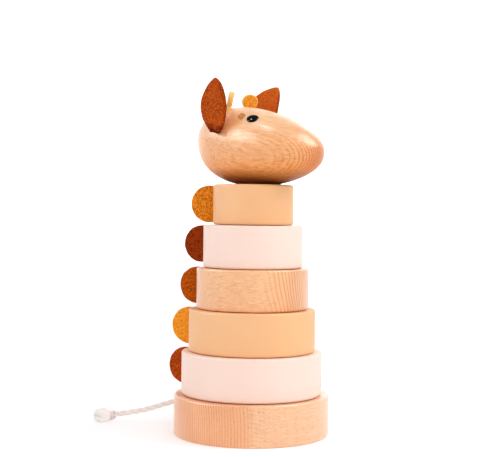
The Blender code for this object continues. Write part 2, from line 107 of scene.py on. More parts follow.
# Felt. A ripple is a length and a height
FELT_THICKNESS = 0.0030
FELT_EDGE_ROUND = 0.0007
FELT_RIPPLE = (0.0042, 0.00008)
FELT_FINE_RIPPLE = (0.0016, 0.00004)
FELT_OUTLINE_RIPPLE = (0.0060, 0.00012)
NAP_LENGTHS = (0.0005, 0.0014)
NAP_RADIUS = 0.000018
MANE_RADIUS = 0.0109
MANE_PROUD = 0.0139
MANE_HAIRS = 420

# Head
HEAD_FLOOR = BASE_HEIGHT + sum(ring_row[2] + FIT_GAP for ring_row in RINGS) + FIT_GAP
HEAD_LENGTH = 0.0846
HEAD_WIDTH = 0.0490
HEAD_CROWN = 0.0215
HEAD_JOWL = 0.0235
HEAD_PLANED = 0.0010
HEAD_CENTRE = HEAD_JOWL - HEAD_PLANED
HEAD_FORWARD = 0.0044
HEAD_DROOP = 0.0041
HEAD_HEIGHT_TAPER = 0.205
HEAD_WIDTH_TAPER = 0.03
HEAD_JOWL_FULLNESS = 0.888
HEAD_TURN = -16.0
HEAD_BORE_DEPTH = 0.0200
HEAD_RIM_HEIGHT = 0.0004
HEAD_RIM_SHARE = 0.978
# Height up the head over which its painted underside shade fades out; above it a painted highlight pales the
# crown
HEAD_SHADE_HEIGHT = 0.024
PEG_TOP = HEAD_FLOOR + HEAD_BORE_DEPTH - PEG_TIP_CLEARANCE

# Eyes, horns and ears. A seat is a distance along the head and an angle up its side
EYE_SEAT = (0.0112, 47.3)
EYE_RADIUS = 0.0035
EYE_DOME = 0.0010
EYE_WALL = 0.0004
EYE_CHAMFER = 0.0003
EYE_TURN = 8.0
HORN_SEAT = (-0.0115, 64.0)
HORN_RADIUS = 0.00465
HORN_HEIGHT = 0.0110
HORN_STEM_WIDTH = 0.0046
HORN_STEM_DEPTH = 0.0055
HORN_FACING = radians(52.0)
HORN_LEAN = radians(14.0)
HORN_HAIRS = 200
EAR_SEAT = (-0.0097, 21.3)
EAR_LENGTH = 0.0303
EAR_WIDTH = 0.0178
EAR_TIP_WIDTH = 0.0012
EAR_ROOT_WIDTH = 0.0058
EAR_ROOT_FORWARD = 0.0014
EAR_FULLNESS = 0.74
EAR_LEAN = radians(9.5)
EAR_SPLAY = radians(9.6)
EAR_FACING = 97.0
EAR_TWIST = 17.5
EAR_BOW_BACK = 0.0042
EAR_BOW_IN = 0.0032
EAR_FRONT_CURL = 0.0026
EAR_BACK_CURL = 0.0009
EAR_CURL_SHARE = 0.24
EAR_FOOT_SHARE = 0.03
EAR_TIP_SHARE = 0.14
# Share of an ear's height that the painted shade at its root covers
EAR_ROOT_SHADE_SHARE = 0.13
EAR_RIPPLE = (0.0070, 0.00016)
EAR_FINE_RIPPLE = (0.0018, 0.00005)
EAR_STANDOFF = 0.0015
EAR_STEM_RADIUS = 0.00195
EAR_STEM_DEPTH = 0.0075
EAR_STEM_AT = 0.08
EAR_THINNEST = 0.22
EAR_HAIRS = 520
# Where the painted shadow that each ear casts on the head lies
EAR_SHADOW_SEAT = (-0.0012, 31.0)

# Tail
TAIL_DIAMETER = 0.0030
TAIL_HOLE_END = -0.0330
TAIL_HOLE_LENGTH = 0.0200
TAIL_ROUTE = (
    (-0.0335, 0.0, 0.0155),
    (-0.0400, 0.0, 0.0155),
    (-0.0455, 0.0, 0.0154),
    (-0.0510, 0.0, 0.0145),
    (-0.0570, 0.0, 0.0125),
    (-0.0640, 0.0, 0.0101),
    (-0.0710, 0.0, 0.0080),
    (-0.0780, 0.0, 0.0064),
    (-0.0840, 0.0, 0.0052),
    (-0.0888, 0.0, 0.0043),
)
STRAND_SHARE = 1 / 1.75
TAIL_PITCH = 0.0165
TAIL_SWELL = 0.18
KNOT_CENTRE = np.array([-0.0922, 0.0, 0.0038])
KNOT_SIZE = np.array([0.0062, 0.0072, 0.0070])
KNOT_ROPE_RADIUS = 0.00132
KNOT_PITCH = 0.0075
TUFT_CENTRE = np.array([-0.0949, -0.0054, 0.0041])
TUFT_HALF = (0.0048, 0.0040, 0.0036)
TUFT_HEADING = 222.0
TUFT_RIPPLE = (0.0030, 0.07)

# Locks of the tuft: how many, their thickness, how far they lift off it, and a seed
LOCKS = (
    (130, 0.00066, (0.0000, 0.0010), 8),
    (80, 0.00012, (0.0003, 0.0020), 9),
)
LOCK_GROUND = 0.0002

# Cuts of beech: the directions of its fibres and growth layers, a middle point, the layers' spacing, how
# strongly lines, streaks and flecks show, and from where along the fibres the end grain shows and deepens.
# Arches give their apex, the reach in which they fade, the curve of their tops, their spacing and strength
PITH_DISTANCE = 0.16
BASE_CUT = {
    "fibres": (-0.407, -0.913, 0.0), "layers": (0.913, -0.407, 0.04), "middle": (0.0, 0.0, 0.012),
    "spacing": 0.0015, "lines": 0.95, "face_lines": 0.10, "figure": 0.7, "flecks": 0.22,
    "end_grain": (0.0300, 0.0365), "end_deepens": (0.0266, 0.038), "end_tone": (254, 236, 222),
    "arches": (0.0318, (0.010, 0.034), -0.0070, 0.0024, 0.26),
}
RING_CUT = {
    "fibres": (1.0, 0.017, 0.0), "layers": (0.017, -1.0, -0.19), "middle": (0.0, 0.0, 0.085),
    "spacing": 0.0019, "lines": 1.2, "face_lines": 0.06, "figure": 0.7, "flecks": 0.25,
    "end_grain": (0.0150, 0.0260), "end_deepens": (0.0255, 0.0298), "end_tone": (244, 244, 246),
    "arches": (-0.0057, (0.008, 0.020), 0.0060, 0.0021, 0.34),
}
HEAD_CUT = {
    "fibres": (0.961, -0.276, -0.32), "layers": (-0.15, -0.92, -0.33), "middle": (-0.0035, 0.002, 0.167),
    "spacing": 0.0013, "lines": 1.5, "face_lines": 0.19, "figure": 2.0, "flecks": 0.25,
    "end_grain": (0.025, 0.046), "end_deepens": (0.041, 0.050), "end_tone": (236, 208, 172),
}
PEG_CUT = {
    "fibres": (0.0, 0.0, 1.0), "layers": (1.0, 0.2, 0.0), "middle": (0.0, 0.0, 0.08),
    "spacing": 0.0028, "lines": 0.6, "face_lines": 0.26, "figure": 0.7, "flecks": 0.35,
    "end_grain": (0.14, 0.2), "end_deepens": (0.14, 0.2), "end_tone": (250, 240, 230),
}

# Spots in the wood, the painted shadow beside each ear, and the two tones of painted shade on the head's
# underside
SPOT_DEPTH = 0.006
SPECK = {
    "centre": (0.02013, -0.04025, 0.0197), "normal": (0.447, -0.894, 0.0), "reach": (0.00040, 0.00034),
    "tone": (120, 70, 45), "amount": 0.9, "fade": (0.95, 1.28),
}
PIN_KNOT = {
    "centre": (-0.00143, -0.01674, 0.1839), "normal": (-0.047, -0.609, 0.746), "reach": (0.0024, 0.0037),
    "tone": (190, 112, 36), "amount": 1.0, "fade": (0.95, 1.28),
}
# The painted shadow beside each ear: its reach, tone, strength and fade
EAR_PAINTED_SHADOW = {"reach": (0.0098, 0.0100), "tone": (214, 124, 50), "amount": 0.85, "fade": (0.15, 1.3)}
PAINTED_UNDERSIDE_SHADE = ((240, 196, 90), (97, 60, 20))

# Mane felts from ring 1 up: slot, three tones from light to deep, the cut edge's tone (raw fibre with a
# painted highlight) and its strength
MANE_FELTS = (
    ("felt_rust", (224, 100, 22), (176, 63, 7), (117, 35, 2), (224, 100, 22), 0.4),
    ("felt_mustard", (255, 184, 66), (250, 150, 34), (222, 114, 14), (255, 193, 76), 0.5),
    ("felt_cinnamon", (224, 111, 15), (182, 76, 3), (126, 46, 1), (224, 111, 15), 0.4),
    ("felt_deep_rust", (178, 72, 13), (141, 46, 3), (93, 24, 1), (178, 72, 13), 0.4),
    ("felt_ochre", (255, 167, 56), (226, 124, 17), (174, 82, 4), (255, 167, 56), 0.5),
)


def unit(vectors):
    """The same directions at length 1."""
    return vectors / np.linalg.norm(vectors, axis=-1, keepdims=True)


def spin(degrees):
    """The matrix of a turn about Z."""
    return np.array(Matrix.Rotation(radians(degrees), 3, "Z"))


def turned_axes(degrees):
    """The X, Y and Z axes after a turn about Z."""
    return spin(degrees).T


def ripple(points, wave, seed):
    """A soft random height at each point, about as far up and down as the wave's height.

    It adds sine waves that run in random directions, each about as long as the wave's length.
    """
    length, height = wave
    count = 20
    chance = np.random.default_rng(seed)
    waves = unit(chance.normal(size=(count, 3))) * 2 * pi / length * chance.uniform(0.6, 1.6, (count, 1))
    heights = np.sin(points @ waves.T + chance.uniform(0, 2 * pi, count))
    return heights.sum(-1) * np.sqrt(2 / count) / 2 * height


def quads(rows, columns, round_rows=False, round_columns=True):
    """Corner numbers of the faces of a grid of points that is counted row by row.

    A grid that closes on itself joins its last row or column to its first.
    """
    number = np.arange(rows * columns).reshape(rows, columns)
    if round_columns:
        number = np.concatenate([number, number[:, :1]], axis=1)
    if round_rows:
        number = np.concatenate([number, number[:1]], axis=0)
    return np.stack(cell_corners(number), axis=-1)


def cell_corners(grid):
    """The four corners of each cell of a grid, in turn."""
    return grid[:-1, :-1], grid[:-1, 1:], grid[1:, 1:], grid[1:, :-1]


def many_quads(count, rows, columns):
    """Corner numbers of the faces of many like grids, one grid after another."""
    first = np.arange(count)[:, None, None] * rows * columns
    return (quads(rows, columns).reshape(1, -1, 4) + first).reshape(-1, 4)


class Shell:
    """Points and faces gathered for one piece, with a value at each point and a place on its surface."""

    def __init__(self):
        self.points = []
        self.faces = []
        self.marks = []
        self.places = []
        self.count = 0

    def add(self, points, faces, mark=0.0, places=None):
        """Add points of any grid shape and faces that number them."""
        flat = points.reshape(-1, 3)
        corners = np.asarray(faces).reshape(-1, 4)
        self.points.append(flat)
        self.faces += (corners + self.count).tolist()
        self.marks.append(np.broadcast_to(mark, points.shape[:-1]).reshape(-1))
        if places is not None:
            self.places.append(places.reshape(-1, 2))
        self.count += len(flat)

    def add_polygon(self, points):
        """Add one flat face with its own points."""
        self.points.append(points)
        self.faces.append(list(range(self.count, self.count + len(points))))
        self.marks.append(np.zeros(len(points)))
        self.count += len(points)

    def piece(self, name, finish, sharp=SHARP_ANGLE):
        """Weld everything into one object whose faces point outwards."""
        mesh = bpy.data.meshes.new(name)
        mesh.from_pydata(np.concatenate(self.points).tolist(), [], self.faces)
        mark = mesh.attributes.new("mark", "FLOAT", "POINT")
        mark.data.foreach_set("value", np.concatenate(self.marks))
        if self.places:
            layer = mesh.uv_layers.new(name="surface")
            layer.data.foreach_set("uv", np.concatenate(self.places).reshape(-1))
        shape = bmesh.new()
        shape.from_mesh(mesh)
        bmesh.ops.remove_doubles(shape, verts=shape.verts, dist=WELD_DISTANCE)
        bmesh.ops.recalc_face_normals(shape, faces=shape.faces)
        shape.to_mesh(mesh)
        shape.free()
        mesh.shade_smooth()
        mesh.set_sharp_from_angle(angle=radians(sharp))
        mesh.materials.append(finish)
        return linked(name, mesh)


def linked(name, data):
    """A new object of the scene, made of this data."""
    made = bpy.data.objects.new(name, data)
    bpy.context.scene.collection.objects.link(made)
    return made


def grid_piece(name, points, finish, mark=0.0):
    """One piece made of one grid of points."""
    shell = Shell()
    shell.add(points, quads(*points.shape[:2]), mark)
    return shell.piece(name, finish)


def cut(piece, shape):
    """Take a closed shape out of a piece, and remove the shape."""
    boolean = piece.modifiers.new("cut", "BOOLEAN")
    boolean.object = shape
    boolean.solver = "EXACT"
    bpy.context.view_layer.update()
    result = bpy.data.meshes.new_from_object(piece.evaluated_get(bpy.context.evaluated_depsgraph_get()))
    piece.modifiers.clear()
    piece.data = result
    result.set_sharp_from_angle(angle=radians(SHARP_ANGLE))
    bpy.data.objects.remove(shape)


def maths_method(operation, swapped=False):
    """A method that does one sum with a value and another, or with the other first."""

    def method(value, other):
        first, second = (other, value) if swapped else (value, other)
        return value.maths(operation, first, second)

    return method


class Value:
    """A socket of a finish's nodes, so that sums on it can be written as Python expressions."""

    def __init__(self, finish, node, output=0):
        self.finish = finish
        self.node = node
        self.socket = node.outputs[output]

    def other(self, output):
        """Another output of the same node."""
        return Value(self.finish, self.node, output)

    def maths(self, operation, first, second=0.0):
        return self.finish.node("ShaderNodeMath", {"operation": operation}, {0: first, 1: second})

    def __neg__(self):
        return self.maths("SUBTRACT", 0.0, self)

    __add__ = maths_method("ADD")
    __radd__ = maths_method("ADD", swapped=True)
    __sub__ = maths_method("SUBTRACT")
    __rsub__ = maths_method("SUBTRACT", swapped=True)
    __mul__ = maths_method("MULTIPLY")
    __rmul__ = maths_method("MULTIPLY", swapped=True)
    __truediv__ = maths_method("DIVIDE")
    __pow__ = maths_method("POWER")

    def fraction(self):
        return self.maths("FRACT", self)

    def size(self):
        return self.maths("ABSOLUTE", self)

    def wave(self):
        return self.maths("SINE", self)

    def rise(self, low, high):
        """0 below low, 1 above high, and a smooth step between them."""
        settings = {"interpolation_type": "SMOOTHSTEP"}
        sockets = {"Value": self, "From Min": low, "From Max": high}
        return self.finish.node("ShaderNodeMapRange", settings, sockets)


class Finish:
    """The nodes of one material, or of the world round the toy."""

    def __init__(self, name, world=None):
        self.owner = world or bpy.data.materials.new(name)
        self.owner.use_nodes = True
        self.nodes = self.owner.node_tree.nodes
        self.shader = self.nodes["Background" if world else "Principled BSDF"]

    def node(self, kind, settings, sockets, output=0):
        """Add a node: its settings first, then the values or links of its sockets."""
        made = self.nodes.new(kind)
        for name, setting in settings.items():
            setattr(made, name, setting)
        for name, value in sockets.items():
            self.feed(made.inputs[name], value)
        return Value(self, made, output)

    def feed(self, socket, value):
        """Link a socket to a value of the nodes, or set it."""
        if isinstance(value, Value):
            self.owner.node_tree.links.new(value.socket, socket)
        else:
            socket.default_value = value

    def place(self):
        """The piece's own coordinates."""
        return self.node("ShaderNodeTexCoord", {}, {}, "Object")

    def mark(self):
        """The value that the piece's points carry."""
        return self.node("ShaderNodeAttribute", {"attribute_name": "mark"}, {}, "Fac")

    def surface(self):
        """The piece's own places on its surface."""
        return self.node("ShaderNodeUVMap", {"uv_map": "surface"}, {})

    def parts(self, vector):
        """The three numbers of a vector."""
        split = self.node("ShaderNodeSeparateXYZ", {}, {0: vector})
        return split, split.other(1), split.other(2)

    def turned(self, vector, axes, origin=(0.0, 0.0, 0.0)):
        """Coordinates along three axes, counted from an origin."""
        rows = Matrix(axes)
        start = rows @ Vector(origin)
        sockets = {"Vector": vector, "Rotation": rows.to_euler(), "Location": -start}
        return self.node("ShaderNodeMapping", {"vector_type": "POINT"}, sockets)

    def noise(self, vector, scale, detail=2.0, roughness=0.5, distortion=0.0):
        """Soft random values about 0.5. scale is one number, or one for each axis."""
        if not isinstance(scale, (int, float)):
            vector = self.node("ShaderNodeVectorMath", {"operation": "MULTIPLY"}, {0: vector, 1: scale})
            scale = 1.0
        sockets = {"Vector": vector, "Scale": scale, "Detail": detail}
        return self.node(
            "ShaderNodeTexNoise", {}, {**sockets, "Roughness": roughness, "Distortion": distortion}
        )

    def mix(self, amount, first, second, blend="MIX"):
        """A colour between two others, or between the first and its product with the second."""
        settings = {"data_type": "RGBA", "blend_type": blend, "clamp_factor": True}
        return self.node("ShaderNodeMix", settings, {0: amount, 6: first, 7: second}, 2)

    def relief(self, height, depth):
        """Normals of a surface with this height, where 1 stands depth metres up."""
        return self.node("ShaderNodeBump", {}, {"Height": height, "Distance": depth, "Strength": 1.0})

    def done(self, **sockets):
        """Feed the shader's sockets, named with _ for a space, and return what it belongs to."""
        for name, value in sockets.items():
            self.feed(self.shader.inputs[name.replace("_", " ")], value)
        return self.owner


def tint(red, green, blue):
    """A colour given in display values from 0 to 255, as the shader takes it."""
    display = np.array([red, green, blue]) / 255
    linear = np.where(display <= 0.04045, display / 12.92, ((display + 0.055) / 1.055) ** 2.4)
    return (*linear.tolist(), 1.0)


def arch_strokes(wood, board, drift, arches):
    """Broken strokes along nested arches.

    At a distance s along the fibres from the apex, an arch has fallen by s * s / (2 * curve).
    """
    apex, reach, curve, spacing, amount = arches
    along, _, third = wood.parts(board)
    sideways = along - apex
    arch = ((third - sideways ** 2.0 / (2.0 * curve) + drift * 0.0025) / spacing).fraction()
    broken = wood.noise(board, (420.0, 40.0, 420.0), 1.0).rise(0.40, 0.60)
    lines = arch.rise(0.45, 0.85) * (1.0 - arch.rise(0.88, 1.0))
    return lines * (1.0 - sideways.size().rise(*reach)) * (broken * 0.75 + 0.25) * amount


def spot_share(wood, place, spot):
    """How far each point lies in a spot of the wood, from 0 outside it to 1, and how full its tone is there.

    A spot is a rounded diamond across its normal, whose slope runs straight up in the photograph.
    """
    normal = unit(np.array(spot["normal"]))
    camera_right, _, _ = turned_axes(CAMERA_AZIMUTH)
    slope = unit(np.cross(camera_right, normal))
    level = np.cross(slope, normal)
    turned_place = wood.turned(place, (level.tolist(), slope.tolist(), normal.tolist()), spot["centre"])
    sideways, upwards, out = wood.parts(turned_place)
    width, height = spot["reach"]
    distance = (sideways / width).size() ** 1.35 + (upwards / height).size() ** 1.35
    near = 1.0 - (out / SPOT_DEPTH).size().rise(0.6, 1.0)
    edge = wood.noise(place, 900.0, 1.0) * 0.3 + distance
    return (1.0 - edge.rise(*spot["fade"])) * near, edge.rise(0.55, 1.0) * 0.2 + 0.8


def beech(name, light, deep, wood_cut, spots=(), painted_shade=None):
    """Oiled beech. A wood cut gives its fibres, its growth layers and how strongly each of them shows.

    Growth layers are shells round a far pith: their phase is the distance from it over the spacing,
    and each layer darkens slowly and ends sharply. They show most on end grain, which starts at a
    distance along the fibres from the middle and has a deeper tone. Short ray flecks, and the cut's
    arches if it has any, show everywhere else. A painted shade of two tones deepens the wood where the
    piece's points are marked, and where the marks fall below zero a painted highlight pales it. The oil
    is thin where the painted shade lies, and where the marks fall below zero.
    """
    wood = Finish(name)
    across = unit(np.array(wood_cut["layers"]))
    fibres = np.array(wood_cut["fibres"])
    fibres = unit(fibres - across * (fibres @ across))
    axes = (fibres.tolist(), across.tolist(), np.cross(fibres, across).tolist())
    place = wood.place()
    board = wood.turned(place, axes, wood_cut["middle"])
    along, depth, third = wood.parts(board)
    ends = along.size().rise(*wood_cut["end_grain"])
    faces = 1.0 - ends
    drift = wood.noise(board, (14.0, 150.0, 30.0), 2.0)
    shell = ((depth + PITH_DISTANCE) ** 2.0 + third ** 2.0) ** 0.5
    year = ((shell + drift * 0.0020) / wood_cut["spacing"]).fraction()
    late = year.rise(0.38, 0.88) * (1.0 - year.rise(0.90, 1.0))
    strength = wood.noise(board, (12.0, 90.0, 25.0), 1.0).rise(0.34, 0.64)
    streaks = wood.noise(board, (40.0, 1700.0, 1300.0), 3.0, 0.65)
    silk = wood.noise(board, (110.0, 700.0, 900.0), 2.0, 0.6)
    patches = wood.noise(board, (14.0, 50.0, 40.0), 2.0)
    flecks = wood.noise(board, (300.0, 210.0, 1900.0), 1.0, 0.4).rise(0.55, 0.68) * faces
    pale_flecks = wood.noise(board, (220.0, 150.0, 1400.0), 1.0, 0.4).rise(0.56, 0.70) * faces
    shown = wood_cut["face_lines"] + ends * (1.0 - wood_cut["face_lines"])
    lines = late * (0.55 + strength * 0.45) * shown * wood_cut["lines"]
    fine = ((streaks - 0.5) * 1.1 + (silk - 0.5) * 0.9) * wood_cut["figure"]
    colour = wood.mix(lines + fine + (patches - 0.5) * 0.5 + 0.15, tint(*light), tint(*deep))
    colour = wood.mix(flecks * wood_cut["flecks"], colour, tint(192, 114, 64))
    if "arches" in wood_cut:
        strokes = arch_strokes(wood, board, drift, wood_cut["arches"])
        colour = wood.mix(strokes * faces, colour, tint(206, 128, 76))
    colour = wood.mix(pale_flecks * 0.22, colour, tint(255, 224, 186))
    deepened = along.size().rise(*wood_cut["end_deepens"])
    colour = wood.mix(deepened, colour, tint(*wood_cut["end_tone"]), "MULTIPLY")
    oil = 1.0
    if painted_shade is not None:
        # Painted shade: the head darkens towards its underside in two tones, deepest at the flat. Painted
        # highlight: where the mark falls below zero the crown pales.
        underside_shade_crown_light = wood.mark()
        painted_crown_light = -underside_shade_crown_light
        colour = wood.mix(underside_shade_crown_light * 0.9, colour, tint(*painted_shade[0]), "MULTIPLY")
        colour = wood.mix(underside_shade_crown_light.rise(0.55, 1.0) * 0.9, colour, tint(*painted_shade[1]), "MULTIPLY")
        colour = wood.mix(painted_crown_light.rise(0.05, 0.55) * 0.35, colour, tint(255, 226, 188))
        oil = 1.0 - underside_shade_crown_light.rise(0.25, 0.70) - painted_crown_light.rise(0.15, 0.60) * 0.85
    # Spots: the wood's knots and specks, and the painted shadow beside each ear
    for spot in spots:
        inside, fullness = spot_share(wood, place, spot)
        colour = wood.mix(inside * fullness * spot["amount"], colour, tint(*spot["tone"]))
        oil = oil * (1.0 - inside * 0.85)
    grit = wood.noise(board, (120.0, 3500.0, 3500.0), 2.0)
    height = grit * 0.5 + streaks * 0.4 - flecks * 0.5 - late * 0.3
    return wood.done(
        Base_Color=colour,
        Roughness=0.38 + flecks * 0.10 + (streaks - 0.5) * 0.16,
        Normal=wood.relief(height, 0.00003),
        Specular_IOR_Level=0.2,
        Coat_Weight=oil,
        Coat_Roughness=0.30,
    )


def paint(name, light, deep, bare, grain):
    """Thin matt paint on beech: brushed tone, faint grain below it, and edges where it wears thin."""
    coat = Finish(name)
    fibres = unit(np.array(grain))
    across = np.array([-fibres[1], fibres[0], 0.0])
    place = coat.place()
    board = coat.turned(place, (fibres.tolist(), across.tolist(), (0.0, 0.0, 1.0)))
    clouds = coat.noise(place, 38.0, 2.0)
    strokes = coat.noise(place, (160.0, 160.0, 900.0), 2.0, 0.6)
    grain_below = coat.noise(board, (70.0, 1800.0, 1500.0), 2.0, 0.6)
    flecks = coat.noise(board, (230.0, 2200.0, 1700.0), 1.0).rise(0.62, 0.75)
    peel = coat.noise(place, 2600.0, 2.0)
    brushed = (clouds - 0.5) * 0.9 + (strokes - 0.5) * 0.35
    tone = brushed + (grain_below - 0.5) * 0.3 + flecks * 0.10 + 0.35
    colour = coat.mix(tone, tint(*light), tint(*deep))
    worn = coat.mark() * coat.noise(place, 420.0, 3.0).rise(0.54, 0.70)
    colour = coat.mix(worn * 0.38, colour, tint(*bare))
    height = peel * 0.5 + strokes * 0.3 + grain_below * 0.6 - flecks * 0.7
    return coat.done(
        Base_Color=colour,
        Roughness=0.50 + (peel - 0.5) * 0.12 + worn * 0.1,
        Normal=coat.relief(height, 0.00003),
        Specular_IOR_Level=0.4,
    )


def felt(name, light, middle, deep, rim, edge):
    """Wool felt: matted fibres in three close tones, a rough nap, and a paler cut edge.

    The edge's tone shows where the piece's points are marked: on a cut edge it is the raw fibre's paler
    tone with a painted highlight where the edge catches the light, and on an ear's inner face a painted
    light. Marks below zero darken the felt: an ear's cut edges, and the painted shade at its root.
    """
    wool = Finish(name)
    light, middle, deep, rim = (tint(*tone) for tone in (light, middle, deep, rim))
    place = wool.place()
    clumps = wool.noise(place, 780.0, 2.0, 0.6, 0.6)
    mats = wool.noise(place, 1350.0, 2.0, 0.7, 1.2)
    hairs = wool.noise(place, (4600.0, 1300.0, 4600.0), 2.0, 0.6, 2.2)
    cross_hairs = wool.noise(place, (1300.0, 4600.0, 2200.0), 2.0, 0.6, 2.2)
    tone = wool.mix(clumps.rise(0.40, 0.57), deep, middle)
    tone = wool.mix(mats.rise(0.50, 0.60) * 0.9, tone, light)
    tone = wool.mix(hairs.rise(0.57, 0.66) * 0.55, tone, light)
    tone = wool.mix(cross_hairs.rise(0.55, 0.65) * 0.75, tone, deep)
    mark = wool.mark()
    # Paler rim tone: a cut edge's raw fibre with a painted highlight, and a painted light on an ear's inner
    # face
    tone = wool.mix(mark * edge, tone, rim)
    # Marks below zero darken the felt: an ear's cut edges, and painted shade at its root
    tone = wool.mix(-mark * 0.8, tone, deep, "MULTIPLY")
    height = clumps * 0.7 + mats * 0.6 + hairs * 0.4 + cross_hairs * 0.4
    return wool.done(
        Base_Color=tone,
        Roughness=0.92 + (mats - 0.5) * 0.12,
        Normal=wool.relief(height, 0.00022),
        Sheen_Weight=0.06,
        Sheen_Roughness=0.4,
        Sheen_Tint=light,
        Specular_IOR_Level=0.05,
    )


def cotton(name, light, deep, depth):
    """Undyed cotton: fine fibres that wind round each strand, and painted grey-brown shade in the hollows
    between them.

    Depth is the share of light that passes under its surface.
    """
    yarn = Finish(name)
    place = yarn.place()
    around, along, _ = yarn.parts(yarn.surface())
    fibres = ((around * 17.0 + along * 0.9) * (2 * pi)).wave() * 0.5 + 0.5
    fuzz = yarn.noise(place, 2600.0, 3.0, 0.65, 1.0)
    clumps = yarn.noise(place, 700.0, 2.0)
    # The mark is painted shade in the grooves between strands
    painted_groove_shade = yarn.mark()
    tone = fibres * 0.15 + (fuzz - 0.5) * 0.5 + (clumps - 0.5) * 0.4 + painted_groove_shade * 0.8
    height = fibres * 0.5 + fuzz * 0.8
    return yarn.done(
        Base_Color=yarn.mix(tone, tint(*light), tint(*deep)),
        Roughness=0.9 + (fuzz - 0.5) * 0.1,
        Normal=yarn.relief(height, 0.00008),
        Subsurface_Weight=depth,
        Subsurface_Radius=(1.0, 0.95, 0.9),
        Subsurface_Scale=0.0012,
        Sheen_Weight=0.2,
        Sheen_Roughness=0.5,
        Specular_IOR_Level=0.2,
    )


def gloss_black(name):
    """Polished black eye: near-black with a trace of haze and the finest scratches."""
    bead = Finish(name)
    place = bead.place()
    haze = bead.noise(place, 500.0, 3.0)
    scratches = bead.noise(place, (9000.0, 700.0, 5000.0), 2.0, 0.5, 0.8).rise(0.62, 0.74)
    return bead.done(
        Base_Color=bead.mix(haze, tint(2, 1, 1), tint(6, 4, 4)),
        Roughness=0.04 + haze * 0.02 + scratches * 0.04,
        Normal=bead.relief(scratches, 0.000002),
        Specular_IOR_Level=0.25,
    )


def studio_paper(name, tone, near_glow, far_glow):
    """Matt white paper with a barely uneven surface. Its glow grows with the distance from the toy."""
    paper = Finish(name)
    place = paper.place()
    fibre = paper.noise(place, 240.0, 3.0)
    to_side, to_back, _ = paper.parts(place)
    distance = (to_side ** 2.0 + to_back ** 2.0) ** 0.5
    near = (near_glow / far_glow,) * 3 + (1.0,)
    return paper.done(
        Base_Color=paper.mix(fibre * 0.05, tint(*tone), tint(251, 251, 252)),
        Roughness=0.8 + fibre * 0.1,
        Specular_IOR_Level=0.1,
        Emission_Color=paper.mix(distance.rise(0.9, PAPER_DEPTH), near, (*WHITE, 1.0)),
        Emission_Strength=far_glow,
    )


def arc(middle, size, start, end, steps=8):
    """Points of a circle's arc, in (radius, height), between two angles in degrees."""
    turns = np.radians(np.linspace(start, end, steps + 1))
    return np.array(middle) + size * np.stack([np.cos(turns), np.sin(turns)], axis=-1)


def turned(profile, turns):
    """A turned surface: each (radius, height) point of the profile is carried to each angle round Z."""
    radius, height = profile[:, :1], profile[:, 1:]
    return np.stack([radius * np.cos(turns), radius * np.sin(turns), height + 0 * turns], axis=-1)


def full_turn(steps):
    """Evenly spaced angles of one turn."""
    return np.arange(steps) * 2 * pi / steps


def board_edge(radius, height):
    """The outer half of a turned board's outline: its underside's rim, rounded edges, wall and top rim."""
    inner = radius - EDGE_ROUND
    flat = inner - EDGE_SUPPORT
    lower = arc((inner, EDGE_ROUND), EDGE_ROUND, -90, 0)
    upper = arc((inner, height - EDGE_ROUND), EDGE_ROUND, 0, 90)
    wall_end = EDGE_ROUND + EDGE_SUPPORT
    wall = [(radius, wall_end), (radius, height - wall_end)]
    return np.concatenate([[(flat, 0.0)], lower, wall, upper, [(flat, height)]])


def base_disc(finish):
    """The base: its outline is turned round Z, from the middle of the underside to the peg's blind hole."""
    hole = PEG_RADIUS + FIT_GAP
    floor = BASE_HEIGHT - PEG_SEAT_DEPTH
    chamfer = [(hole + BORE_CHAMFER, BASE_HEIGHT), (hole, BASE_HEIGHT - BORE_CHAMFER)]
    bottom = [(hole, floor), (0.0, floor)]
    profile = np.concatenate([[(0.0, 0.0)], board_edge(BASE_RADIUS, BASE_HEIGHT), chamfer, bottom])
    base = grid_piece("base_board", turned(profile, full_turn(192)), finish)
    width = TAIL_DIAMETER / 2 + FIT_GAP
    drill = np.array([(0.0, 0.0), (width, 0.0), (width, TAIL_HOLE_LENGTH), (0.0, TAIL_HOLE_LENGTH)])
    backwards = turned(drill, full_turn(48))[..., [2, 1, 0]] * (-1, 1, 1)
    cut(base, grid_piece("tail_hole", backwards + (TAIL_HOLE_END, 0.0, TAIL_ROUTE[0][2]), finish))
    return base


def centre_peg(finish):
    """The peg: a dowel's outline with a rounded tip, turned round Z."""
    bottom = BASE_HEIGHT - PEG_SEAT_DEPTH + FIT_GAP
    tip = arc((PEG_RADIUS - PEG_TIP_ROUND, PEG_TOP - PEG_TIP_ROUND), PEG_TIP_ROUND, 0, 90)
    profile = np.concatenate([[(0.0, bottom), (PEG_RADIUS, bottom)], tip, [(0.0, PEG_TOP)]])
    return grid_piece("peg_dowel", turned(profile, full_turn(96)), finish)


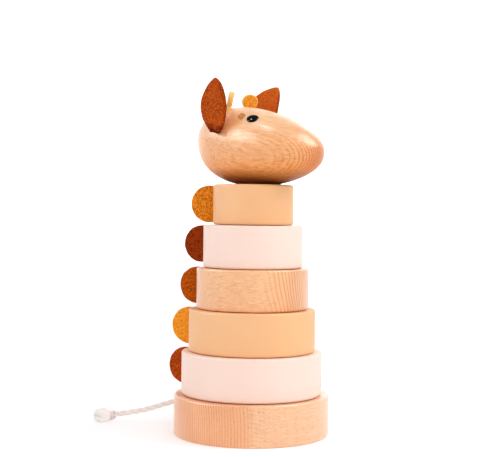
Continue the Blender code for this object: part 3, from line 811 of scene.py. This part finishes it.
def ring(name, diameter, height, turn, rise, floor, finish):
    """A ring: a closed outline turned round Z, with a slot in its back for the felt.

    The wall's faces over the slot's width are left out. The slot's own floor follows the felt's
    circle from the wall's lower end round to its upper end, between two flat sides.
    """
    radius = diameter / 2
    bore = [
        (BORE_RADIUS + BORE_CHAMFER, height),
        (BORE_RADIUS, height - BORE_CHAMFER),
        (BORE_RADIUS, BORE_CHAMFER),
        (BORE_RADIUS + BORE_CHAMFER, 0.0),
    ]
    profile = np.concatenate([board_edge(radius, height), bore])
    out, level = profile.T
    half_angle = np.arcsin((FELT_THICKNESS / 2 + FIT_GAP) / radius)
    slot_columns, wall_columns, slot_rows, wall_rows = 4, 180, 32, 3
    over_slot = np.linspace(-half_angle, half_angle, slot_columns + 1)
    over_wall = np.linspace(half_angle, 2 * pi - half_angle, wall_columns + 1)[1:-1]
    turns = pi + np.concatenate([over_slot, over_wall])
    points = turned(profile, turns)
    faces = quads(len(profile), len(turns), round_rows=True)
    wall_start = int(np.argmax(np.isclose(out, radius) & np.isclose(level, EDGE_ROUND)))
    wall_end = wall_start + wall_rows
    keep = np.ones(faces.shape[:2], bool)
    keep[wall_start:wall_end, :slot_columns] = False
    edges = (level < EDGE_ROUND) | (level > height - EDGE_ROUND)
    mark = np.where(edges & (out > radius - 1.5 * EDGE_ROUND), 1.0, 0.0)[:, None]
    shell = Shell()
    shell.add(points, faces[keep], mark)
    slot_radius = MANE_RADIUS + FIT_GAP
    slot_height = height / 2 + rise
    centre = -(radius + MANE_PROUD - MANE_RADIUS)
    rim = points[[wall_start, wall_end], : slot_columns + 1]
    start, stop = np.arctan2(rim[:, 0, 2] - slot_height, rim[:, 0, 0] - centre)
    sweep = np.linspace(start, stop, slot_rows + 1)[1:-1, None]
    side = points[wall_start, : slot_columns + 1, 1][None, :]
    slot_floor = [
        centre + slot_radius * np.cos(sweep) + 0 * side,
        side + 0 * sweep,
        slot_height + slot_radius * np.sin(sweep) + 0 * side,
    ]
    pocket = np.concatenate([rim[:1], np.stack(slot_floor, axis=-1), rim[1:]])
    shell.add(pocket, quads(len(pocket), slot_columns + 1, round_columns=False))
    for column in (0, slot_columns):
        wall = points[[wall_end - 1, wall_end - 2], column]
        shell.add_polygon(np.concatenate([pocket[:, column], wall]))
    shell.points = [grid @ spin(turn).T + (0.0, 0.0, floor) for grid in shell.points]
    return shell.piece(f"stack_{name}", finish)


def felt_plate(outline, seed):
    """A felt plate cut to an outline, given as its distance from a middle point at each angle.

    Rows run from the middle of the front out to the rim, over its rounded cut edge, and back to the
    middle of the back. Ripples a fraction of a millimetre high unsettle its faces and its outline.
    """
    turns = full_turn(len(outline))
    half = FELT_THICKNESS / 2
    edge = FELT_EDGE_ROUND
    rows = [(share, 0.0, half) for share in np.linspace(0.0, 1.0, 9)]
    rounding = np.radians(np.linspace(90, 0, 5)[1:])
    rows += [(1.0, edge * cos(turn), half - edge + edge * sin(turn)) for turn in rounding]
    rows += [(share, rise, -lift) for share, rise, lift in rows[::-1]]
    share, outward, lift = (np.array(column)[:, None] for column in zip(*rows))
    distance = share * (outline - edge) + outward
    flat = np.stack([distance * np.cos(turns), distance * np.sin(turns), lift + 0 * turns], axis=-1)
    swell = ripple(flat * (1, 1, 0.5), FELT_RIPPLE, seed) + ripple(flat, FELT_FINE_RIPPLE, seed + 1)
    grown = 1 + ripple(flat, FELT_OUTLINE_RIPPLE, seed + 2) / outline
    points = flat * np.stack([grown, grown, 1 + swell / half], axis=-1)
    mark = np.where(np.abs(lift) < half - edge * 0.2, 1.0, 0.0) * (outward > 0)
    return points, mark


def add_nap(shell, points, count, seed):
    """Loose wool fibres: thin three-sided hairs that start on the surface and curl over it.

    Each hair follows root + run * t + bend * t * t, and thins towards its tip.
    """
    chance = np.random.default_rng(seed)
    rows, columns = points.shape[:2]
    row = chance.integers(1, rows - 2, count)
    column = chance.integers(0, columns, count)
    root = points[row, column]
    beside = points[row, (column + 1) % columns] - root
    below = points[row + 1, column] - root
    outward = unit(np.cross(beside, below) + 1e-12)
    lean = unit(chance.normal(size=(count, 3)))
    run = unit(outward * chance.uniform(0.1, 0.7, (count, 1)) + lean)
    length = chance.uniform(*NAP_LENGTHS, (count, 1))
    bend = unit(chance.normal(size=(count, 3))) * length * 0.5
    thickness = NAP_RADIUS * np.array([0.0, 1.0, 0.7, 0.0])
    step = np.linspace(0.0, 1.0, len(thickness))[None, :, None]
    path = root[:, None] + (run * length)[:, None] * step + bend[:, None] * step ** 2
    first = unit(np.cross(run, lean + 0.3 * outward + 1e-6))[:, None, None]
    second = unit(np.cross(run, first[:, 0, 0]))[:, None, None]
    corner = full_turn(3)[:, None]
    around = np.cos(corner) * first + np.sin(corner) * second
    hairs = path[:, :, None] + thickness[:, None, None] * around
    shell.add(hairs, many_quads(*hairs.shape[:3]), 0.6)


def felt_piece(name, points, mark, hairs, seed, finish):
    """One felt plate with its nap."""
    shell = Shell()
    shell.add(points, quads(*points.shape[:2]), mark)
    add_nap(shell, points, hairs, seed)
    return shell.piece(name, finish)


def mane_felt(number, diameter, height, turn, rise, floor, finish):
    """A felt disc that stands on edge in the slot of its ring's back."""
    points, mark = felt_plate(np.full(120, MANE_RADIUS), 10 * number)
    upright = points[..., [0, 2, 1]] * (1, -1, 1)
    middle = (-(diameter / 2 + MANE_PROUD - MANE_RADIUS), 0.0, height / 2 + rise)
    placed = (upright + middle) @ spin(turn).T + (0.0, 0.0, floor)
    return felt_piece(f"mane_disc_{number}", placed, mark, MANE_HAIRS, 10 * number + 5, finish)


def head_surface(along, across, up):
    """Carry points of the unit sphere to the head's pebble shape, in the head's own frame.

    Height and width shrink towards the nose, the middle line droops, and the lower half is fuller
    than an ellipsoid. The frame's floor is the planed flat.
    """
    lower = -HEAD_JOWL * np.abs(up) ** HEAD_JOWL_FULLNESS
    lift = np.where(up > 0, HEAD_CROWN * up, lower)
    x = HEAD_FORWARD + HEAD_LENGTH / 2 * along
    y = HEAD_WIDTH / 2 * across * (1 - HEAD_WIDTH_TAPER * along)
    z = HEAD_CENTRE + lift * (1 - HEAD_HEIGHT_TAPER * along) - HEAD_DROOP * along
    return np.stack([x, y, z], axis=-1)


def on_toy(points):
    """Carry points from the head's own frame to the toy's."""
    return points @ spin(HEAD_TURN).T + (0.0, 0.0, HEAD_FLOOR)


def head_seat(forward, angle, side):
    """The point of the head at a distance along it and an angle up its side, and its outward normal."""
    station = (forward - HEAD_FORWARD) / (HEAD_LENGTH / 2)

    def at(along, lift):
        reach = np.sqrt(1 - along ** 2)
        return head_surface(along, side * reach * np.cos(lift), reach * np.sin(lift))

    lift = radians(angle)
    step = 0.001
    lengthwise = at(station + step, lift) - at(station - step, lift)
    upwards = at(station, lift + step) - at(station, lift - step)
    return at(station, lift), unit(side * np.cross(upwards, lengthwise))


def axes_about(normal):
    """Three axes whose last is the normal and whose first is level."""
    level = unit(np.cross(np.array([0.0, 0.0, 1.0]), normal))
    return np.stack([level, np.cross(normal, level), normal])


def painted_ear_shadow(side):
    """A painted shadow on the wood between an ear and the crown, where the ear shades the head."""
    point, normal = head_seat(*EAR_SHADOW_SEAT, side)
    centre = on_toy(point)
    return {**EAR_PAINTED_SHADOW, "centre": centre, "normal": on_toy(point + normal) - centre}


def head_block(finish):
    """The head: the pebble from its planed rim to its crown, the flat below it and the blind bore.

    At each angle round the head the rim's height angle is found by halving, and rows run from it up.
    """
    columns, rows, halvings = 288, 111, 40
    turns = full_turn(columns)

    def at(lift):
        return head_surface(np.cos(lift) * np.cos(turns), np.cos(lift) * np.sin(turns), np.sin(lift))

    low, high = np.full(columns, -pi / 2), np.zeros(columns)
    for _ in range(halvings):
        middle = (low + high) / 2
        below = at(middle)[:, 2] < HEAD_RIM_HEIGHT
        low = np.where(below, middle, low)
        high = np.where(below, high, middle)
    share = np.linspace(0.0, 1.0, rows)[:, None]
    pebble = at(low + (pi / 2 - low) * share)
    planed = pebble[0] * (HEAD_RIM_SHARE, HEAD_RIM_SHARE, 0.0)
    facing = np.arctan2(planed[:, 1], planed[:, 0])
    circle = np.stack([np.cos(facing), np.sin(facing), 0 * facing], axis=-1)
    mouth = circle * (BORE_RADIUS + BORE_CHAMFER)
    flat = [planed + (mouth - planed) * part for part in (0.0, 0.06, 0.5, 1.0)]
    bore = [circle * BORE_RADIUS + (0, 0, level) for level in (BORE_CHAMFER, HEAD_BORE_DEPTH)]
    end = np.broadcast_to(np.array([0.0, 0.0, HEAD_BORE_DEPTH]), circle.shape)
    points = np.concatenate([pebble[::-1], np.stack([*flat, *bore, end])])
    # The mark is 1 at the planed flat and falls with height: painted shade towards the underside, and below
    # zero a painted highlight on the crown.
    underside_shade_crown_light = 1 - points[..., 2] / HEAD_SHADE_HEIGHT
    return grid_piece("pebble_head", on_toy(points), finish, underside_shade_crown_light)


def eye(side_name, side, finish):
    """A polished dome, turned round the head's normal, whose rim is sunk in the wood.

    The dome looks a few degrees further forward than the wood below it.
    """
    point, normal = head_seat(*EYE_SEAT, side)
    normal = spin(-side * EYE_TURN) @ normal
    lift = np.radians(np.linspace(90, 0, 17))
    dome = np.stack([EYE_RADIUS * np.cos(lift), EYE_DOME * np.sin(lift)], axis=-1)
    bottom = -EYE_WALL - EYE_CHAMFER
    sunk = [(EYE_RADIUS, -EYE_WALL), (EYE_RADIUS - EYE_CHAMFER, bottom), (0.0, bottom)]
    local = turned(np.concatenate([dome, sunk]), full_turn(72))
    return grid_piece(f"bead_eye_{side_name}", on_toy(local @ axes_about(normal) + point), finish)


def horn_frame(side):
    """A horn's middle point on the head, and its axes: across its face, up, and through it."""
    point, _ = head_seat(*HORN_SEAT, side)
    across = np.array([cos(HORN_FACING), side * sin(HORN_FACING), 0.0])
    up = np.array([tan(HORN_LEAN), 0.0, 1.0])
    through = unit(np.cross(across, up))
    return point, np.stack([across, np.cross(through, across), through])


def horn(side_name, side, finish):
    """A felt tab: a round top whose neck goes down into the crown.

    At each angle the outline is the farther of the round top and the neck's straight sides.
    """
    point, axes = horn_frame(side)
    turns = full_turn(160)
    from_down = np.abs((turns + pi / 2 + pi) % (2 * pi) - pi)
    centre = HORN_HEIGHT - HORN_RADIUS
    sideways = np.maximum(np.sin(from_down), 1e-6)
    downwards = np.maximum(np.cos(from_down), 1e-6)
    neck = np.minimum(HORN_STEM_WIDTH / 2 / sideways, (centre + HORN_STEM_DEPTH) / downwards)
    outline = np.where(from_down < pi / 2, np.maximum(neck, HORN_RADIUS), HORN_RADIUS)
    local, mark = felt_plate(outline, 71 + side)
    placed = on_toy((local + (0.0, centre, 0.0)) @ axes + point)
    return felt_piece(f"felt_horn_{side_name}", placed, mark, HORN_HAIRS, 75 + side, finish)


def ear_width(height):
    """Width of an ear's cut leaf at each share of its height: a swollen arch, a root and a blunt tip."""
    swell = np.sin(pi * np.clip(height, 0.0, 1.0)) ** EAR_FULLNESS
    return EAR_WIDTH * swell + EAR_ROOT_WIDTH * (1 - height) ** 3 + EAR_TIP_WIDTH


def ear_leaf(across, height, side):
    """Middle surface of a felt ear, as offsets from its root in the head's frame.

    A leaf outline is carried up a line that leans forwards and splays outwards. The leaf bows back
    and in, twists as it rises, and its edges, the front one most, curl outwards near the root.
    """
    rise = unit(np.array([tan(EAR_LEAN), side * tan(EAR_SPLAY), 1.0]))
    facing = np.radians(EAR_FACING + EAR_TWIST * (height - 0.5))
    normal = np.stack([np.cos(facing), side * np.sin(facing), 0 * facing], axis=-1)
    normal = unit(normal - (normal @ rise)[..., None] * rise)
    forward = side * np.cross(normal, rise)
    arch = 4 * height * (1 - height)
    fade = np.clip(1 - height / EAR_CURL_SHARE, 0.0, 1.0) ** 1.5
    front_curl = EAR_FRONT_CURL * np.clip(across, 0.0, 1.0) ** 2
    back_curl = EAR_BACK_CURL * np.clip(-across, 0.0, 1.0) ** 2
    curl = (front_curl + back_curl) * fade
    root_forward = EAR_ROOT_FORWARD * np.clip(1 - height, 0.0, 1.0) ** 5
    sideways = ear_width(height) / 2 * across - EAR_BOW_BACK * arch + root_forward
    return (
        (EAR_LENGTH * height)[..., None] * rise
        + sideways[..., None] * forward
        + (curl - EAR_BOW_IN * arch)[..., None] * normal
    )


def ear(side_name, side, finish):
    """A leaf of felt with a rolled stem that goes into the head's side.

    Each row across the leaf is a closed loop, a flat rounded section of the felt's thickness, set on
    the leaf's middle surface along its normals.
    """
    point, normal = head_seat(*EAR_SEAT, side)
    reach = EAR_STANDOFF + FELT_THICKNESS / 2
    root = ear_leaf(np.zeros(1), np.full(1, EAR_STEM_AT), side)[0]
    turns = full_turn(72)
    height = np.linspace(-EAR_FOOT_SHARE, 1.0, 94)[:, None] + 0 * turns
    squared = 0.34
    across = np.sign(np.cos(turns)) * np.abs(np.cos(turns)) ** squared + 0 * height
    through = np.sign(np.sin(turns)) * np.abs(np.sin(turns)) ** squared + 0 * height
    step = 0.002
    over = ear_leaf(across + step, height, side) - ear_leaf(across - step, height, side)
    up = ear_leaf(across, height + step, side) - ear_leaf(across, height - step, side)
    outward = unit(np.cross(over, up))
    from_end = np.minimum(height / EAR_FOOT_SHARE + 1, (1 - height) / EAR_TIP_SHARE)
    fullness = EAR_THINNEST + (1 - EAR_THINNEST) * np.clip(from_end, 0.0, 1.0) ** 0.6
    half = FELT_THICKNESS / 2 * fullness
    leaf = ear_leaf(across, height, side) + (through * half)[..., None] * outward
    leaf = leaf - root + point + normal * reach
    leaf = leaf + ripple(leaf, EAR_RIPPLE, 41 + side)[..., None] * outward
    leaf = leaf + ripple(leaf, EAR_FINE_RIPPLE, 43 + side)[..., None] * outward
    foot, tip = (leaf[row].mean(0) + 0 * leaf[:1] for row in (0, -1))
    placed = on_toy(np.concatenate([foot, leaf, tip]))
    # The inner face takes the paler rim tone as a painted light
    painted_lit_face = np.clip(-side * through * outward[..., 1], 0.0, 1.0) * 0.8
    cut_edge = np.clip((np.abs(across) - 0.93) / 0.05, 0.0, 1.0) * 0.5
    # Darker cut edges, and painted shade at the root where the ear rolls into the head
    dark_edge_and_root_shade = cut_edge + np.clip(1 - height / EAR_ROOT_SHADE_SHARE, 0.0, 1.0)
    mark = np.where(dark_edge_and_root_shade > 0.02, -np.minimum(dark_edge_and_root_shade, 1.0), painted_lit_face)
    mark = np.concatenate([mark[:1], mark, mark[-1:]])
    shell = Shell()
    shell.add(placed, quads(*placed.shape[:2]), mark)
    add_nap(shell, placed[2:-2], EAR_HAIRS, 47 + side)
    levels = np.linspace(-EAR_STEM_DEPTH, reach, 12)
    wall = [(EAR_STEM_RADIUS, level) for level in levels]
    stem_profile = np.array([(0.0, levels[0]), *wall, (0.0, levels[-1])])
    stem = turned(stem_profile, full_turn(32))
    shell.add(on_toy(stem @ axes_about(normal) + point), quads(*stem.shape[:2]), 0.2)
    return shell.piece(f"felt_ear_{side_name}", finish, EAR_SHARP_ANGLE)


def smooth_route(points, per_stretch):
    """A smooth curve through a route's points, by cubic stretches whose slopes follow their neighbours."""
    spots = np.array(points)
    before = np.concatenate([spots[:1], spots[:-1]])
    after = np.concatenate([spots[1:], spots[-1:]])
    slope = (after - before) / 2
    t = np.linspace(0.0, 1.0, per_stretch, endpoint=False)[None, :, None]
    start, end = spots[:-1, None], spots[1:, None]
    leave, arrive = slope[:-1, None], slope[1:, None]
    curve = (
        start * (2 * t ** 3 - 3 * t ** 2 + 1)
        + leave * (t ** 3 - 2 * t ** 2 + t)
        + end * (3 * t ** 2 - 2 * t ** 3)
        + arrive * (t ** 3 - t ** 2)
    )
    return np.concatenate([curve.reshape(-1, 3), spots[-1:]])


def add_rope(shell, path, first, radius, pitch, closed, slack=0.0):
    """A three-strand twisted rope along a path.

    Its section is the outline of three strands that overlap: at an angle a from the nearest strand's
    middle it lies d cos a + sqrt(r r - d d sin a sin a) out. The section turns once in each pitch,
    and a slack rope swells towards its end.
    """
    sides = 48
    strand = radius * STRAND_SHARE
    offset = radius - strand
    turns = full_turn(sides)[None, :]
    ahead = np.gradient(path, axis=0)
    if closed:
        ahead = np.roll(path, -1, axis=0) - np.roll(path, 1, axis=0)
    ahead = unit(ahead)
    first = unit(first - (first * ahead).sum(-1, keepdims=True) * ahead)
    second = np.cross(ahead, first)
    gone = np.concatenate([[0.0], np.linalg.norm(np.diff(path, axis=0), axis=-1).cumsum()])
    twists = gone / pitch
    if closed:
        twists = np.linspace(0, round(gone[-1] / pitch * 3) / 3, len(path), endpoint=False)
    lobe = (turns - 2 * pi * twists[:, None] + pi / 3) % (2 * pi / 3) - pi / 3
    out = offset * np.cos(lobe) + np.sqrt(strand ** 2 - (offset * np.sin(lobe)) ** 2)
    out = out * (1 + slack * (gone / gone[-1])[:, None] ** 1.5)
    ring_points = np.cos(turns)[..., None] * first[:, None] + np.sin(turns)[..., None] * second[:, None]
    points = path[:, None] + out[..., None] * ring_points
    # Painted shade in the grooves between the strands
    painted_groove_shade = np.clip((np.abs(lobe) / (pi / 3) - 0.6) / 0.4, 0.0, 1.0) ** 2
    faces = quads(len(path), sides, round_rows=closed)
    rows, columns = faces.shape[:2]
    u = (np.arange(columns + 1)[None, :] / sides) + 0 * np.arange(rows + 1)[:, None]
    v = np.arange(rows + 1)[:, None] * (gone[-1] / len(gone) / MILLIMETRE) + 0 * u
    corner = np.stack([u, v], axis=-1)
    places = np.stack(cell_corners(corner), axis=2)
    if not closed:
        ends = path[[0, -1]][:, None] + 0 * points[:1]
        points = np.concatenate([ends[:1], points, ends[1:]])
        painted_groove_shade = np.concatenate([painted_groove_shade[:1], painted_groove_shade, painted_groove_shade[-1:]])
        faces = quads(len(points), sides)
        places = np.concatenate([places[:1], places, places[-1:]])
    shell.add(points, faces, painted_groove_shade, places)


def tail_cord(finish):
    """The tail: a twisted cotton cord along the route that its solid takes."""
    path = smooth_route(TAIL_ROUTE, 24)
    shell = Shell()
    sideways = np.array([0.0, 1.0, 0.0]) + 0 * path
    add_rope(shell, path, sideways, TAIL_DIAMETER / 2, TAIL_PITCH, False, TAIL_SWELL)
    cord = shell.piece("tail_rope", finish, ROPE_SHARP_ANGLE)
    length = np.linalg.norm(np.diff(path, axis=0), axis=-1).sum()
    return cord, path, length


def tail_knot(finish):
    """The knot: the same rope along a pulled-tight trefoil, fitted to the knot's solid.

    The trefoil's line is (-sin 3t, sin t + 2 sin 2t, cos t - 2 cos 2t).
    """
    t = full_turn(220)
    trefoil = [-np.sin(3 * t), np.sin(t) + 2 * np.sin(2 * t), np.cos(t) - 2 * np.cos(2 * t)]
    room = KNOT_SIZE / 2 - KNOT_ROPE_RADIUS
    line = np.stack(trefoil, axis=-1) / (1.0, 3.0, 3.0) * room
    shell = Shell()
    add_rope(shell, line + KNOT_CENTRE, line, KNOT_ROPE_RADIUS, KNOT_PITCH, True)
    return shell.piece("tail_knot_tied", finish, ROPE_SHARP_ANGLE)


def add_locks(shell, count, thick, lift, seed):
    """Locks of loose cotton over the tuft's egg.

    At an angle b from the end of the egg that is tied, a lock lies at centre - ahead * long * cos b
    + (beside * wide * cos a + up * high * sin a) * sin b. Its angle a round the egg sways a little, it
    lifts off the egg with t * t, and its thickness swells and ends round with the root of sin(pi t).
    """
    sides, steps = 5, 10
    chance = np.random.default_rng(seed)
    t = np.linspace(0.0, 1.0, steps)[None, :]
    tilt = radians(20) + t * np.radians(chance.uniform(70, 156, (count, 1)))
    sway = np.sin(t * chance.uniform(2, 6, (count, 1)) + chance.uniform(0, 2 * pi, (count, 1)))
    turn = chance.uniform(0, 2 * pi, (count, 1)) + sway * chance.uniform(0.05, 0.45, (count, 1))
    off = chance.uniform(*lift, (count, 1)) * t ** 2
    long, wide, high = (half + off for half in TUFT_HALF)
    ahead, beside, up = turned_axes(TUFT_HEADING)
    path = (
        TUFT_CENTRE - ahead * (long * np.cos(tilt))[..., None]
        + beside * (wide * np.cos(turn) * np.sin(tilt))[..., None]
        + up * (high * np.sin(turn) * np.sin(tilt))[..., None]
    )
    path[..., 2] = np.maximum(path[..., 2], thick + LOCK_GROUND)
    along = unit(np.gradient(path, axis=1))
    first = unit(np.cross(along, path - TUFT_CENTRE))
    second = np.cross(along, first)
    corner = full_turn(sides)[:, None]
    around = np.cos(corner) * first[:, :, None] + np.sin(corner) * second[:, :, None]
    taper = np.sqrt(np.clip(np.sin(pi * t), 0.0, 1.0))[..., None, None]
    faces = many_quads(count, steps, sides)
    shell.add(path[:, :, None] + thick * taper * around, faces, 0.0, np.zeros((len(faces), 4, 2)))


def tail_tassel(finish):
    """The frayed end: an uneven egg of matted cotton, with locks and loose strands over it."""
    ahead, beside, up = turned_axes(TUFT_HEADING)
    tilt = np.linspace(0.0, pi, 25)[:, None, None]
    turn = full_turn(36)[None, :, None]
    long, wide, high = TUFT_HALF
    across = beside * wide * np.cos(turn) + up * high * np.sin(turn)
    egg = across * np.sin(tilt) - ahead * long * np.cos(tilt)
    egg = egg * (0.95 + ripple(egg, TUFT_RIPPLE, 5)[..., None])
    shell = Shell()
    faces = quads(*egg.shape[:2])
    # The egg between the locks takes half of the painted groove shade
    shell.add(TUFT_CENTRE + egg, faces, 0.5, np.zeros((*faces.shape, 2)))
    for locks in LOCKS:
        add_locks(shell, *locks)
    return shell.piece("tail_tuft", finish, TUFT_SHARP_ANGLE)


def area_light(name, place, target, size, power, colour, seen):
    """A soft light panel that faces a point, and either lights surfaces or only shows in gloss.

    It stands further off than its place says, is larger by the same factor and stronger by its square. So
    it lights the toy at rest as it would from its place, and pieces lifted off the peg hardly brighter.
    """
    lamp = bpy.data.lights.new(name, "AREA")
    lamp.shape = "RECTANGLE"
    lamp.size, lamp.size_y = (LIGHT_STANDOFF * side for side in size)
    lamp.energy = LIGHT_STANDOFF ** 2 * power
    lamp.color = colour
    panel = linked(name, lamp)
    towards = Vector(target) - Vector(place)
    panel.location = Vector(target) - LIGHT_STANDOFF * towards
    panel.rotation_euler = towards.to_track_quat("-Z", "Y").to_euler()
    panel.visible_diffuse = seen != "in gloss"
    panel.visible_glossy = seen != "on surfaces"


def paper_sheet(name, corners, tone, near_glow, far_glow):
    """A flat four-cornered sheet of studio paper, which is no part of the toy."""
    sheet = bpy.data.meshes.new(name)
    sheet.from_pydata(corners, [], [(0, 1, 2, 3)])
    sheet.materials.append(studio_paper(f"{name}_white", tone, near_glow, far_glow))
    linked(name, sheet)


def studio():
    """A white paper floor, a lit backdrop, a room with pale walls and a dim ceiling, and soft panels."""
    room = Finish("studio_room", bpy.data.worlds.new("studio_room"))
    _, _, up_there = room.parts(room.node("ShaderNodeTexCoord", {}, {}, "Generated"))
    walls = 0.78 - up_there.rise(0.30, 0.90) * 0.55
    bpy.context.scene.world = room.done(Color=(*WHITE, 1.0), Strength=walls)
    right, away, up = turned_axes(CAMERA_AZIMUTH)
    far, side, top = PAPER_DEPTH * away, PAPER_WIDTH * right, PAPER_DEPTH * up
    floor = [-far - side, -far + side, far + side, far - side]
    paper_sheet("paper_floor", floor, (226, 226, 228), 0.28, 0.42)
    backdrop = [far - side, far + side, far + side + top, far - side + top]
    paper_sheet("paper_backdrop", backdrop, (248, 248, 250), 0.45, 0.45)
    for light in LIGHTS:
        area_light(*light)


def camera():
    """The photograph's camera: level, turned and rolled, with its frame shifted."""
    data = bpy.data.cameras.new("camera")
    data.lens = LENS
    data.sensor_width = SENSOR
    data.shift_x, data.shift_y = SHIFT
    data.clip_start, data.clip_end = CLIP
    seen = linked("camera", data)
    turn = radians(CAMERA_AZIMUTH)
    seen.location = (CAMERA_DISTANCE * sin(turn), -CAMERA_DISTANCE * cos(turn), CAMERA_HEIGHT)
    seen.rotation_euler = (pi / 2, CAMERA_ROLL, turn)
    bpy.context.scene.camera = seen


def fit(piece, body, node):
    """Let a piece ride on its body and stand for its node, whose part it hides."""
    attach(piece, body)
    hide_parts(node)


def stack(beech_base, beech_ring, beech_peg, blush, apricot, felts):
    """The base, the peg, the five rings and the mane."""
    fit(base_disc(beech_base), "base", "base_disc")
    fit(centre_peg(beech_peg), "base", "centre_peg")
    floor = BASE_HEIGHT + FIT_GAP
    looks = ((blush, "blush_paint"), (apricot, "apricot_paint"), (beech_ring, "beech"))
    looks += looks[:2]
    for number, (name, diameter, height, turn, rise) in enumerate(RINGS, 1):
        finish, slot = looks[number - 1]
        made = ring(name, diameter, height, turn, rise, floor, finish)
        fit(made, f"ring_{number}", name)
        felt_finish, felt_slot = felts[number - 1]
        disc = mane_felt(number, diameter, height, turn, rise, floor, felt_finish)
        fit(disc, f"ring_{number}", f"mane_felt_{number}")
        floor += height + FIT_GAP


def head(beech_head, rust, mustard, black):
    """The pebble and its eyes, horns and ears."""
    pebble = head_block(beech_head)
    fit(pebble, "head", "head_block")
    for side_name, side in (("right", -1), ("left", 1)):
        fit(eye(side_name, side, black), "head", f"eye_{side_name}")
        fit(horn(side_name, side, mustard), "head", f"horn_{side_name}")
        leaf = ear(side_name, side, rust)
        fit(leaf, "head", f"ear_{side_name}")
        widths = ear_width(np.linspace(0.0, 1.0, 200))


def tail(finish, loose):
    """The cord and its knot in spun cotton, and the tassel in loose cotton."""
    cord, path, length = tail_cord(finish)
    knot = tail_knot(finish)
    tuft = tail_tassel(loose)
    fit(cord, "base", "tail_cord")
    fit(knot, "base", "tail_knot")
    fit(tuft, "base", "tail_tassel")


bpy.context.scene.view_settings.view_transform = "Standard"
camera()
tail(
    cotton("spun_cotton", (242, 230, 226), (222, 203, 195), 0.6),
    cotton("loose_cotton", (255, 252, 250), (230, 212, 204), 0.0),
)
studio()
stack(
    beech("oiled_beech_base", (247, 195, 152), (222, 152, 104), BASE_CUT, (SPECK,)),
    beech("oiled_beech_ring", (247, 190, 140), (224, 148, 92), RING_CUT),
    beech("oiled_beech_peg", (244, 190, 146), (218, 148, 98), PEG_CUT),
    paint("blush_paint", (250, 222, 208), (245, 212, 197), (240, 196, 160), (0.8, 0.6, 0.0)),
    paint("apricot_paint", (244, 190, 138), (239, 178, 124), (236, 190, 150), (0.5, -0.85, 0.0)),
    [(felt(f"{slot}_mane", *look), slot) for slot, *look in MANE_FELTS],
)
# The painted shadows beside both ears, and the pin knot
head_spots = (painted_ear_shadow(-1), painted_ear_shadow(1), PIN_KNOT)
head(
    beech("oiled_beech_head", (246, 182, 126), (220, 138, 78), HEAD_CUT, head_spots, PAINTED_UNDERSIDE_SHADE),
    felt("felt_rust_ears", (222, 104, 30), (180, 70, 10), (130, 44, 3), (236, 122, 42), 0.42),
    felt("felt_mustard_horns", (255, 194, 84), (244, 156, 32), (216, 114, 8), (255, 224, 146), 0.8),
    gloss_black("black_bead"),
)
